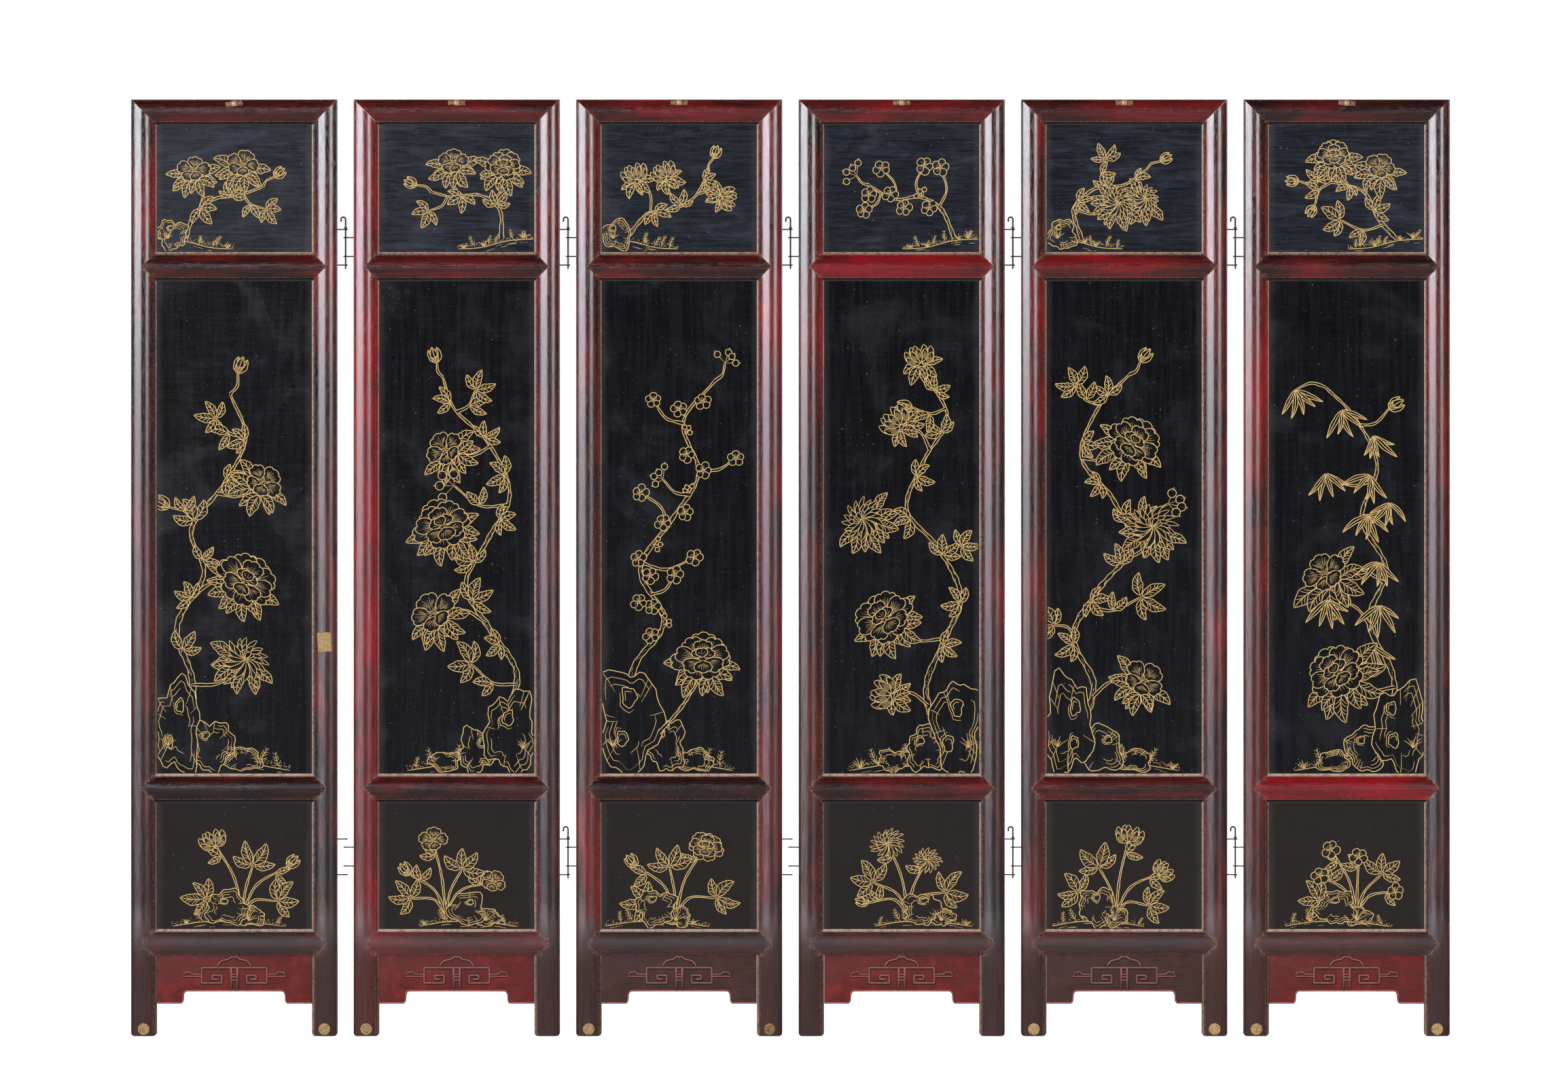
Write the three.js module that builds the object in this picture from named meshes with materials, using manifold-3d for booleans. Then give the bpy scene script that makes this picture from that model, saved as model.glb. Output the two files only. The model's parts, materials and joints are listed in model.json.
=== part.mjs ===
// A six-leaf Chinese lacquer folding screen, standing opened out in a row.
//
// Millimetres, +Z up, +X to the right of someone who faces the decorated side, and that
// side looks along -Y. The origin is on the floor, at the middle of the whole screen.
//
// Each leaf is a mitred hardwood frame round one lacquered board. The top rail meets the
// stiles in plain mitres with hidden tenons. The two middle rails and the bottom rail end
// in 45-degree points that are let into the faces of the stiles. An apron with a carved
// key fret fills the space between the legs. Neighbouring leaves carry iron eyes that
// interleave in the gap, and a loose iron pin dropped through them is the hinge.

import * as THREE from 'three';
import { mergeVertices } from 'three/addons/utils/BufferGeometryUtils.js';
import Module from 'manifold-3d';

const wasm = await Module();
wasm.setup();

// ---------------------------------------------------------------- driving dimensions

const LEAF_COUNT = 6;
const LEAF_WIDTH = 405;
const LEAF_HEIGHT = 1840;
const LEAF_GAP = 32; // edge to edge of neighbouring leaves, with the screen opened flat

// Section of the stiles and the top rail. Widths run in from the outer edge, and depths
// run back from the crest of the cushion moulding.
const FRAME_THICKNESS = 28;
const FACE_WIDTH = 44; // outer edge to inner arris
const REVEAL_WIDTH = 6; // sloped reveal from the arris down to the board
const REVEAL_STEP = 1; // first steep step of the reveal, across
const REVEAL_STEP_DROP = 2; // and its fall
const ARRIS_DROP = 4.5; // how far the arris lies behind the crest
const BEAD_WIDTH = 3; // bead along the outer edge
const BEAD_DROP = 1.6; // crest of the bead behind the crest of the cushion
const BEAD_DEPTH = 2; // quirk and side of the bead behind the bead's own crest
const BACK_CHAMFER = 1.5;
const CUSHION_STEPS = 3; // facets on each half of the cushion moulding

// Rails that are let into the faces of the stiles
const RAIL_FACE = 45; // arris to arris
const UPPER_RAIL_DROP = 328; // top of the leaf to the centre line
const LOWER_RAIL_Z = 487; // centre lines above the floor
const BOTTOM_RAIL_Z = 181.5;

// Lacquered board and the grooves that hold it
const BOARD_DEPTH = 11; // crest of the frame to the face of the board
const BOARD_THICKNESS = 8;
const GROOVE_DEPTH = 8;
const FIT_GAP = 0.3; // between faces that touch
const EDGE_PLAY = 0.8; // left at the bottom of a groove for the board to move

// Tenons
const TENON_DEPTH = 14; // crest of the frame to the cheek of a tenon
const TENON_THICKNESS = 8;
const TENON_LENGTH = 28; // past the inner edge of the stile
const TOP_TENON_HEIGHT = 17;
const BOTTOM_TENON_HEIGHT = 24;
const TENON_COVER = 1; // wood between a tenon and the groove below it

// Apron
const APRON_DEPTH = 7; // crest of the frame to the face of the apron
const APRON_THICKNESS = 12;
const APRON_FLANK_Z = 63.5; // lower edge beside the legs, above the floor
const APRON_RISE = 24; // how much higher the middle of the lower edge is
const APRON_FLANK_WIDTH = 46; // straight edge beside each leg
const APRON_OGEE_WIDTH = 14; // double curve from the flank to the raised middle
const APRON_CURVE_STEPS = 3; // facets on each curve of the edge
const APRON_TONGUE_Z = 78; // lower end of the tongue, hidden in the leg
const APRON_TONGUE_ROOT = 5; // how far the tongues start inside the edge of the board
const RELIEF_HEIGHT = 2; // carving and bead stand this far off the face
const APRON_BEAD_WIDTH = 3.5;

// Key fret carved on the apron. Widths run out from the middle of the leaf, and drops run
// down from the underside of the bottom rail.
const RIB_WIDTH = 3.6;
const THIN_RIB_WIDTH = 2.4;
const FRET_REACH = 64; // outer upright of the square coil
const FRET_TOP = 25;
const FRET_BOTTOM = 55;
const COIL_NEAR = 24.5; // inner upright of the coil
const COIL_TOP = 40;
const COIL_REACH = 43; // short upright inside the coil
const COIL_BOTTOM = 47.5;
const COIL_END = 33;
const STEM_SPREAD = 6; // each rib of the stem from the middle
const STEM_TIES = [38, 43, 49.5];
const ARM_DROP = 42;
const ARM_DEPTH = 4.2; // between the two ribs of an arm
const ARM_REACH = 101;
const CLOUD_HALF = 34;
const CLOUD_TOP = 3.2;

// Feet
const FOOT_ROUND = 7; // radius of the worn corners of a foot
const BUMPER_DIAMETER = 23; // cork disc on the front of a leg
const BUMPER_THICKNESS = 3;
const BUMPER_HEIGHT = 14; // its centre above the floor
const BUMPER_SIDES = 12;
const PAD_WIDTH = 27; // rectangular cork pad on one stile
const PAD_HEIGHT = 38;
const PAD_THICKNESS = 2.5;
const PAD_Z = 774;
const PAD_INSET = 25; // outer edge of the leaf to the middle of the pad
const PAD_TILT = 3; // degrees

// Hinges: wire eyes in the edges of the leaves, and drop pins
const PIN_DIAMETER = 3.2;
const PIN_CLEARANCE = 0.45; // round the pin, inside an eye
const EYE_WIRE = 2.6;
const EYE_SEGMENTS = 8;
const EYE_WIRE_SIDES = 4;
const SHANK_SIDES = 4;
const SHANK_BURY = 3; // of the shank, inside the stile
const UPPER_HINGE_DROP = 255; // top of the leaf to the top eye of the upper hinge
const LOWER_HINGE_Z = 387; // top eye of the lower hinge above the floor
const EYE_DROPS = { outer: [0, 70], inner: [16, 53] }; // below the top eye
const PIN_TAIL = 9; // of the pin below the lowest eye
const PIN_HEAD = 15; // straight part over the collar
const PIN_CROOK_RADIUS = 4.5;
const PIN_CROOK_DROP = 5;
const PIN_SIDES = 6;
const COLLAR_DIAMETER = 6;
const COLLAR_HEIGHT = 3;

// Which leaves have what, counted from the left of the decorated side
const LOWER_PIN_FOLDS = [2, 4, 5]; // the other two lower pins are lost
const BUMPERS = { left: [1, 2, 3, 5, 6], right: [1, 3, 5, 6] };
const PAD_LEAF = 1;

// ------------------------------------------------------------------- worked-out values

const HALF_WIDTH = LEAF_WIDTH / 2;
const STILE_WIDTH = FACE_WIDTH + REVEAL_WIDTH;
const INNER_HALF = HALF_WIDTH - STILE_WIDTH; // middle of the leaf to the edge of a stile
const CUSHION_HALF = RAIL_FACE / 2; // arris to crest
const CREST_IN = FACE_WIDTH - CUSHION_HALF; // outer edge to crest
const RAIL_HALF = CUSHION_HALF + REVEAL_WIDTH;
const GROOVE_REACH = INNER_HALF + GROOVE_DEPTH;
const BOARD_BACK = BOARD_DEPTH + BOARD_THICKNESS;
const RAIL_UNDERSIDE = BOTTOM_RAIL_Z - CUSHION_HALF;
const UPPER_RAIL_Z = LEAF_HEIGHT - UPPER_RAIL_DROP;
const HINGE_HEIGHTS = { upper: LEAF_HEIGHT - UPPER_HINGE_DROP, lower: LOWER_HINGE_Z };
const PITCH = LEAF_WIDTH + LEAF_GAP;
const PIN_REACH = LEAF_GAP / 2; // edge of a leaf to the axis of the pin
const CREST_Y = (BUMPER_THICKNESS - FRAME_THICKNESS) / 2; // puts the whole depth about Y = 0
const HINGE_Y = CREST_Y + FRAME_THICKNESS / 2;
const FAR = 2 * LEAF_HEIGHT; // long enough to cut right through

// --------------------------------------------------------------------------- materials

const lacquer = new THREE.MeshStandardMaterial({ color: 0x4a1618, roughness: 0.32, metalness: 0 });
const blackLacquer = new THREE.MeshStandardMaterial({ color: 0x15161a, roughness: 0.25, metalness: 0 });
const apronLacquer = new THREE.MeshStandardMaterial({ color: 0x6e1f1a, roughness: 0.42, metalness: 0 });
const iron = new THREE.MeshStandardMaterial({ color: 0x2b2826, roughness: 0.6, metalness: 0.8 });

// ------------------------------------------------------------------------ solid helpers

/** A closed geometry as a solid that can be joined and cut. */
function solid(geometry) {
  const bare = geometry.index ? geometry.toNonIndexed() : geometry.clone();
  for (const name of Object.keys(bare.attributes)) {
    if (name !== 'position') bare.deleteAttribute(name);
  }
  const merged = mergeVertices(bare, 1e-4);
  const mesh = new wasm.Mesh({
    numProp: 3,
    vertProperties: new Float32Array(merged.attributes.position.array),
    triVerts: new Uint32Array(merged.index.array),
  });
  return new wasm.Manifold(mesh);
}

/** A solid as a geometry with flat faces. */
function geometryOf(body) {
  const mesh = body.getMesh();
  const indexed = new THREE.BufferGeometry();
  indexed.setAttribute('position', new THREE.BufferAttribute(mesh.vertProperties, 3));
  indexed.setIndex(new THREE.BufferAttribute(mesh.triVerts, 1));
  const faceted = indexed.toNonIndexed();
  faceted.computeVertexNormals();
  return faceted;
}

/** A closed outline from [a, b] pairs. */
function outline(points) {
  return new THREE.Shape(points.map(([a, b]) => new THREE.Vector2(a, b)));
}

/** An outline run straight along its own third axis. */
function run(shape, length, steps = 6) {
  return new THREE.ExtrudeGeometry(shape, { depth: length, bevelEnabled: false, curveSegments: steps });
}

/** A section drawn in [x, y], run up from one height to another. */
function upright(shape, low, high) {
  return solid(run(shape, high - low).translate(0, 0, low));
}

/** A section drawn in [z, y], run across the leaf from -half to +half. */
function crosswise(shape, half) {
  const turn = new THREE.Matrix4().makeBasis(
    new THREE.Vector3(0, 0, 1),
    new THREE.Vector3(0, 1, 0),
    new THREE.Vector3(-1, 0, 0),
  );
  return solid(run(shape, 2 * half).translate(0, 0, -half).applyMatrix4(turn));
}

/** A face outline drawn in [x, z], from one depth behind the crest to another. */
function plate(shape, front, back, steps = 6) {
  const turn = new THREE.Matrix4().makeBasis(
    new THREE.Vector3(1, 0, 0),
    new THREE.Vector3(0, 0, 1),
    new THREE.Vector3(0, -1, 0),
  );
  return solid(run(shape, back - front, steps).applyMatrix4(turn).translate(0, CREST_Y + back, 0));
}

/** A block between two x, two heights and two depths behind the crest. */
function block(x0, x1, z0, z1, front, back) {
  return plate(outline([[x0, z0], [x1, z0], [x1, z1], [x0, z1]]), front, back);
}

// ------------------------------------------------------------------- moulded sections

/** Fall of the cushion moulding at a distance from its crest. */
function cushionDrop(distance) {
  return ARRIS_DROP * (distance / CUSHION_HALF) ** 2;
}

/** Points of the cushion from one distance beside the crest to another, as [distance, drop]. */
function cushion(from, to) {
  const points = [];
  const steps = 2 * CUSHION_STEPS;
  for (let i = 0; i <= steps; i += 1) {
    const distance = from + ((to - from) * i) / steps;
    points.push([distance, cushionDrop(Math.abs(distance))]);
  }
  return points;
}

/** Section of a stile or the top rail, as [width from the outer edge, depth]. */
function frameSection() {
  const quirk = BEAD_DROP + BEAD_DEPTH;
  return [
    [BACK_CHAMFER, FRAME_THICKNESS],
    [0, FRAME_THICKNESS - BACK_CHAMFER],
    [0, quirk],
    [BEAD_WIDTH * 0.15, BEAD_DROP + BEAD_DEPTH * 0.3],
    [BEAD_WIDTH * 0.5, BEAD_DROP],
    [BEAD_WIDTH * 0.85, BEAD_DROP + BEAD_DEPTH * 0.3],
    [BEAD_WIDTH, quirk],
    ...cushion(BEAD_WIDTH + 0.6 - CREST_IN, CUSHION_HALF).map(([s, d]) => [CREST_IN + s, d]),
    [FACE_WIDTH + REVEAL_STEP, ARRIS_DROP + REVEAL_STEP_DROP],
    [STILE_WIDTH, BOARD_DEPTH - FIT_GAP],
    [STILE_WIDTH, FRAME_THICKNESS - BACK_CHAMFER],
    [STILE_WIDTH - BACK_CHAMFER, FRAME_THICKNESS],
  ];
}

/** Section of a let-in rail, as [height from its centre line, depth]. */
function railSection(hasLowerReveal, back) {
  const reveal = [
    [CUSHION_HALF + REVEAL_STEP, ARRIS_DROP + REVEAL_STEP_DROP],
    [RAIL_HALF, BOARD_DEPTH - FIT_GAP],
  ];
  const mirrored = reveal.map(([s, d]) => [-s, d]).reverse();
  const lower = hasLowerReveal ? mirrored : [];
  const lowest = hasLowerReveal ? -RAIL_HALF : -CUSHION_HALF;
  const rear = back > BOARD_DEPTH ? [[RAIL_HALF, back], [lowest, back]] : [];
  return [...lower, ...cushion(-CUSHION_HALF, CUSHION_HALF), ...reveal, ...rear];
}

/** Section points as an outline in [height, y]. */
function atHeight(points, place) {
  return outline(points.map(([s, d]) => [place(s), CREST_Y + d]));
}

// ----------------------------------------------------------------------------- joinery

/** Face outline of a let-in rail with its pointed ends, grown by a clearance. */
function pointedOutline(centre, lowest, grow) {
  const tip = HALF_WIDTH - CREST_IN + grow * Math.SQRT2;
  const high = RAIL_HALF + grow;
  const low = Math.min(lowest + grow, high);
  return outline([
    [-tip, centre],
    [-tip + low, centre - low],
    [tip - low, centre - low],
    [tip, centre],
    [tip - high, centre + high],
    [-tip + high, centre + high],
  ]);
}

/** The pointed recess that a let-in rail needs in the faces of the stiles. */
function pointedRecess(centre, lowest) {
  return plate(pointedOutline(centre, lowest, FIT_GAP), -ARRIS_DROP, BOARD_DEPTH);
}

/** What the two mitres at the top leave of the top rail, or of the stiles. */
function mitreOutline(gap) {
  const top = LEAF_HEIGHT + STILE_WIDTH;
  const reach = HALF_WIDTH + STILE_WIDTH - gap;
  const bottom = LEAF_HEIGHT - STILE_WIDTH;
  return outline([
    [-reach, top],
    [-reach + top - bottom, bottom],
    [reach - top + bottom, bottom],
    [reach, top],
  ]);
}

/** Both tenons of a rail, grown by a clearance where they are cut from the stiles. */
function tenons(low, high, grow) {
  const root = INNER_HALF - TENON_LENGTH / 4;
  const end = INNER_HALF + TENON_LENGTH + grow;
  const front = TENON_DEPTH - grow;
  const back = TENON_DEPTH + TENON_THICKNESS + grow;
  const right = block(root, end, low - grow, high + grow, front, back);
  const left = block(-end, -root, low - grow, high + grow, front, back);
  return left.add(right);
}

const topTenonHigh = LEAF_HEIGHT - STILE_WIDTH + GROOVE_DEPTH + TENON_COVER + TOP_TENON_HEIGHT;
const topTenonLow = topTenonHigh - TOP_TENON_HEIGHT;
const bottomTenonHigh = BOTTOM_RAIL_Z + RAIL_HALF - GROOVE_DEPTH - TENON_COVER;
const bottomTenonLow = bottomTenonHigh - BOTTOM_TENON_HEIGHT;

// ------------------------------------------------------------------------- hinge pieces

/** A wire eye with its ring round the pin's axis and its shank in the edge of a leaf. */
function eye(side, height) {
  const wire = EYE_WIRE / 2;
  const ringRadius = PIN_DIAMETER / 2 + PIN_CLEARANCE + wire;
  const axis = side * (HALF_WIDTH + PIN_REACH);
  const ring = new THREE.TorusGeometry(ringRadius, wire, EYE_WIRE_SIDES, EYE_SEGMENTS);
  const placedRing = solid(ring.translate(axis, HINGE_Y, height));
  const shankEnd = PIN_REACH - ringRadius;
  const shankLength = shankEnd + SHANK_BURY;
  const shank = new THREE.CylinderGeometry(wire, wire, shankLength, SHANK_SIDES);
  shank.rotateZ(Math.PI / 2);
  shank.translate(side * (HALF_WIDTH + shankEnd - shankLength / 2), HINGE_Y, height);
  return placedRing.add(solid(shank));
}

/** A drop pin: straight rod, collar that sits on the top eye, and a crook to lift it by. */
function hingePin(height) {
  const radius = PIN_DIAMETER / 2;
  const seat = height + EYE_WIRE / 2 + FIT_GAP;
  const foot = height - Math.max(...EYE_DROPS.outer) - PIN_TAIL;
  const neck = seat + COLLAR_HEIGHT + PIN_HEAD;
  const section = outline(ringPoints(radius, PIN_SIDES));
  const rod = run(section, neck - foot).translate(0, 0, foot);
  const crook = new THREE.ExtrudeGeometry(section, {
    steps: PIN_SIDES + 2,
    bevelEnabled: false,
    extrudePath: new CrookCurve(PIN_CROOK_RADIUS, PIN_CROOK_DROP, neck - radius),
  });
  const collar = new THREE.CylinderGeometry(COLLAR_DIAMETER / 2, COLLAR_DIAMETER / 2, COLLAR_HEIGHT, PIN_SIDES);
  collar.rotateX(Math.PI / 2);
  collar.translate(0, 0, seat + COLLAR_HEIGHT / 2);
  return solid(rod).add(solid(collar)).add(solid(crook));
}

/** Corners of a regular polygon. */
function ringPoints(radius, sides) {
  const points = [];
  for (let i = 0; i < sides; i += 1) {
    const angle = (2 * Math.PI * (i + 0.5)) / sides;
    points.push([radius * Math.cos(angle), radius * Math.sin(angle)]);
  }
  return points;
}

/** Up, over in a half circle towards -X, and down a little. */
class CrookCurve extends THREE.Curve {
  constructor(radius, drop, base) {
    super();
    this.radius = radius;
    this.drop = drop;
    this.base = base;
  }

  getPoint(t, target = new THREE.Vector3()) {
    const arc = Math.PI * this.radius;
    const rise = PIN_DIAMETER / 2;
    const along = t * (rise + arc + this.drop);
    if (along < rise) {
      return target.set(0, 0, this.base + along);
    }
    if (along < rise + arc) {
      const angle = (along - rise) / this.radius;
      const x = this.radius * (Math.cos(angle) - 1);
      return target.set(x, 0, this.base + rise + this.radius * Math.sin(angle));
    }
    return target.set(-2 * this.radius, 0, this.base + rise - (along - rise - arc));
  }
}

// ------------------------------------------------------------------------- leaf pieces

/** Which hinge eyes the edge of a leaf carries: side is -1 on the left and 1 on the right. */
function edgeEyes(side) {
  const drops = side > 0 ? EYE_DROPS.outer : EYE_DROPS.inner;
  return Object.values(HINGE_HEIGHTS).flatMap((top) => drops.map((drop) => eye(side, top - drop)));
}

/** A stile, with its mitre, recesses, mortises, groove, foot and whatever is fixed to it. */
function stile(side, leaf) {
  const across = (u) => side * (HALF_WIDTH - u);
  const section = outline(frameSection().map(([u, d]) => [across(u), CREST_Y + d]));
  let body = upright(section, 0, LEAF_HEIGHT);
  body = body.subtract(plate(mitreOutline(-FIT_GAP / 2), -FAR, FAR));
  body = body.subtract(pointedRecess(UPPER_RAIL_Z, RAIL_HALF));
  body = body.subtract(pointedRecess(LOWER_RAIL_Z, RAIL_HALF));
  body = body.subtract(pointedRecess(BOTTOM_RAIL_Z, CUSHION_HALF));
  body = body.subtract(tenons(topTenonLow, topTenonHigh, FIT_GAP));
  body = body.subtract(tenons(bottomTenonLow, bottomTenonHigh, FIT_GAP));
  const grooveFront = BOARD_DEPTH - FIT_GAP;
  const grooveBack = BOARD_BACK + FIT_GAP;
  const grooveLow = APRON_TONGUE_Z - FIT_GAP;
  const grooveHigh = LEAF_HEIGHT - STILE_WIDTH + GROOVE_DEPTH;
  const near = Math.min(side * INNER_HALF * 0.9, side * GROOVE_REACH);
  const far = Math.max(side * INNER_HALF * 0.9, side * GROOVE_REACH);
  body = body.subtract(block(near, far, grooveLow, grooveHigh, grooveFront, grooveBack));
  body = body.intersect(plate(footOutline(across), -FAR, FAR));
  if (side > 0 ? leaf < LEAF_COUNT : leaf > 1) {
    for (const piece of edgeEyes(side)) body = body.add(piece);
  }
  const bumpers = side > 0 ? BUMPERS.right : BUMPERS.left;
  if (bumpers.includes(leaf)) body = body.add(bumper(across(STILE_WIDTH / 2)));
  if (side > 0 && leaf === PAD_LEAF) body = body.add(corkPad(across(PAD_INSET)));
  return body;
}

/** Outline of a whole stile seen from the front, with the worn corners of the foot. */
function footOutline(across) {
  const corner = (centre, turn) => [0, 0.5, 1].map((t) => {
    const angle = (Math.PI / 2) * (turn + t);
    return [across(centre + FOOT_ROUND * Math.cos(angle)), FOOT_ROUND + FOOT_ROUND * Math.sin(angle)];
  });
  return outline([
    ...corner(FOOT_ROUND, 2),
    ...corner(STILE_WIDTH - FOOT_ROUND, 3),
    [across(STILE_WIDTH), FAR],
    [across(0), FAR],
  ]);
}

/** A cork disc on the front of a leg, sunk to the arris so that it bears on the moulding. */
function bumper(x) {
  const disc = outline(ringPoints(BUMPER_DIAMETER / 2, BUMPER_SIDES).map(([a, b]) => [x + a, BUMPER_HEIGHT + b]));
  return plate(disc, -BUMPER_THICKNESS, ARRIS_DROP);
}

/** A rectangular cork pad, a little askew. */
function corkPad(x) {
  const tilt = THREE.MathUtils.degToRad(PAD_TILT);
  const corners = [[-1, -1], [1, -1], [1, 1], [-1, 1]].map(([a, b]) => {
    const dx = (a * PAD_WIDTH) / 2;
    const dz = (b * PAD_HEIGHT) / 2;
    return [x + dx * Math.cos(tilt) - dz * Math.sin(tilt), PAD_Z + dx * Math.sin(tilt) + dz * Math.cos(tilt)];
  });
  return plate(outline(corners), -PAD_THICKNESS, ARRIS_DROP);
}

/** The top rail, mitred over the stiles. */
function topRail() {
  const shape = atHeight(frameSection(), (u) => LEAF_HEIGHT - u);
  let body = crosswise(shape, HALF_WIDTH);
  body = body.intersect(plate(mitreOutline(FIT_GAP / 2), -FAR, FAR));
  body = body.add(tenons(topTenonLow, topTenonHigh, 0));
  const low = LEAF_HEIGHT - STILE_WIDTH;
  const groove = block(-FAR, FAR, low - GROOVE_DEPTH, low + GROOVE_DEPTH, BOARD_DEPTH - FIT_GAP, BOARD_BACK + FIT_GAP);
  return body.subtract(groove);
}

/** A middle rail: a moulded face rail in front of the board, with pointed ends. */
function middleRail(centre) {
  const shape = atHeight(railSection(true, 0), (s) => centre + s);
  const body = crosswise(shape, HALF_WIDTH);
  return body.intersect(plate(pointedOutline(centre, RAIL_HALF, 0), -FAR, FAR));
}

/** The bottom rail: pointed face, square shoulders behind it, tenons and two grooves. */
function bottomRail() {
  const shape = atHeight(railSection(false, FRAME_THICKNESS), (s) => BOTTOM_RAIL_Z + s);
  const whole = crosswise(shape, HALF_WIDTH);
  const points = plate(pointedOutline(BOTTOM_RAIL_Z, CUSHION_HALF, 0), -FAR, BOARD_DEPTH - FIT_GAP);
  const shoulder = INNER_HALF - FIT_GAP;
  const middle = block(-shoulder, shoulder, 0, FAR, -FAR, FAR);
  let body = whole.intersect(points.add(middle));
  body = body.add(tenons(bottomTenonLow, bottomTenonHigh, 0));
  const front = BOARD_DEPTH - FIT_GAP;
  const back = BOARD_BACK + FIT_GAP;
  const crown = BOTTOM_RAIL_Z + RAIL_HALF;
  body = body.subtract(block(-FAR, FAR, crown - GROOVE_DEPTH, crown + GROOVE_DEPTH, front, back));
  return body.subtract(block(-FAR, FAR, RAIL_UNDERSIDE - GROOVE_DEPTH, RAIL_UNDERSIDE + GROOVE_DEPTH, front, back));
}

/** The lacquered board, in its grooves all round. */
function board() {
  const half = GROOVE_REACH - EDGE_PLAY;
  const low = BOTTOM_RAIL_Z + RAIL_HALF - GROOVE_DEPTH + EDGE_PLAY;
  const high = LEAF_HEIGHT - STILE_WIDTH + GROOVE_DEPTH - EDGE_PLAY;
  return block(-half, half, low, high, BOARD_DEPTH, BOARD_BACK);
}

// -------------------------------------------------------------------------------- apron

/** Lower edge of the apron from left to right, in [x, z]. */
function apronEdge() {
  const half = INNER_HALF - FIT_GAP;
  const flank = half - APRON_FLANK_WIDTH;
  const crown = flank - APRON_OGEE_WIDTH;
  const middle = (flank + crown) / 2;
  const high = APRON_FLANK_Z + APRON_RISE;
  const waist = (APRON_FLANK_Z + high) / 2;
  const edge = new THREE.CurvePath();
  const line = (ax, az, bx, bz) => edge.add(new THREE.LineCurve(new THREE.Vector2(ax, az), new THREE.Vector2(bx, bz)));
  const bend = (ax, az, cx, cz, bx, bz) => edge.add(new THREE.QuadraticBezierCurve(
    new THREE.Vector2(ax, az),
    new THREE.Vector2(cx, cz),
    new THREE.Vector2(bx, bz),
  ));
  line(-half, APRON_FLANK_Z, -flank, APRON_FLANK_Z);
  bend(-flank, APRON_FLANK_Z, -middle, APRON_FLANK_Z, -middle, waist);
  bend(-middle, waist, -middle, high, -crown, high);
  line(-crown, high, crown, high);
  bend(crown, high, middle, high, middle, waist);
  bend(middle, waist, middle, APRON_FLANK_Z, flank, APRON_FLANK_Z);
  line(flank, APRON_FLANK_Z, half, APRON_FLANK_Z);
  return edge.getPoints(APRON_CURVE_STEPS);
}

/** A line of even width along points, as an outline. */
function ribbon(points, width, offset = 0) {
  const left = [];
  const right = [];
  points.forEach((point, i) => {
    const before = points[Math.max(i - 1, 0)];
    const after = points[Math.min(i + 1, points.length - 1)];
    const inward = i > 0 ? point.clone().sub(before).normalize() : after.clone().sub(point).normalize();
    const outward = i < points.length - 1 ? after.clone().sub(point).normalize() : inward.clone();
    const normal = new THREE.Vector2(-inward.y - outward.y, inward.x + outward.x).normalize();
    const stretch = 1 / Math.max(normal.dot(new THREE.Vector2(-inward.y, inward.x)), 0.5);
    left.push(point.clone().addScaledVector(normal, (offset + width / 2) * stretch));
    right.push(point.clone().addScaledVector(normal, (offset - width / 2) * stretch));
  });
  return new THREE.Shape([...left, ...right.reverse()]);
}

/** Points from [x, z] pairs, with z measured down from the underside of the bottom rail. */
function below(pairs) {
  return pairs.map(([x, drop]) => new THREE.Vector2(x, RAIL_UNDERSIDE - drop));
}

/** The ribs of the fret on one side, each as its width and its points. */
function fretRibs(side) {
  const mirrored = (pairs) => below(pairs.map(([x, drop]) => [side * x, drop]));
  const coil = [
    [0, FRET_TOP],
    [FRET_REACH, FRET_TOP],
    [FRET_REACH, FRET_BOTTOM],
    [COIL_NEAR, FRET_BOTTOM],
    [COIL_NEAR, COIL_TOP],
    [COIL_REACH, COIL_TOP],
    [COIL_REACH, COIL_BOTTOM],
    [COIL_END, COIL_BOTTOM],
  ];
  const upper = ARM_DROP - ARM_DEPTH;
  const peaks = [
    [FRET_REACH, upper],
    [ARM_REACH - 19, upper],
    [ARM_REACH - 13, upper - 6],
    [ARM_REACH - 10, upper - 2.5],
    [ARM_REACH - 6, upper - 5],
    [ARM_REACH, ARM_DROP],
  ];
  const cloud = [
    [CLOUD_HALF, FRET_TOP],
    [CLOUD_HALF * 0.88, FRET_TOP - 8],
    [CLOUD_HALF * 0.65, FRET_TOP - 14.5],
    [CLOUD_HALF * 0.38, FRET_TOP - 15.5],
    [CLOUD_HALF * 0.2, CLOUD_TOP + 2.5],
    [0, CLOUD_TOP],
  ];
  const stemFoot = RAIL_UNDERSIDE - APRON_FLANK_Z - APRON_RISE - APRON_BEAD_WIDTH / 2;
  return [
    [RIB_WIDTH, mirrored(coil)],
    [RIB_WIDTH, mirrored(cloud)],
    [RIB_WIDTH, mirrored([[STEM_SPREAD, FRET_TOP], [STEM_SPREAD, stemFoot]])],
    [THIN_RIB_WIDTH, mirrored([[FRET_REACH, ARM_DROP], [ARM_REACH, ARM_DROP]])],
    [THIN_RIB_WIDTH, mirrored(peaks)],
  ];
}

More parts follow.
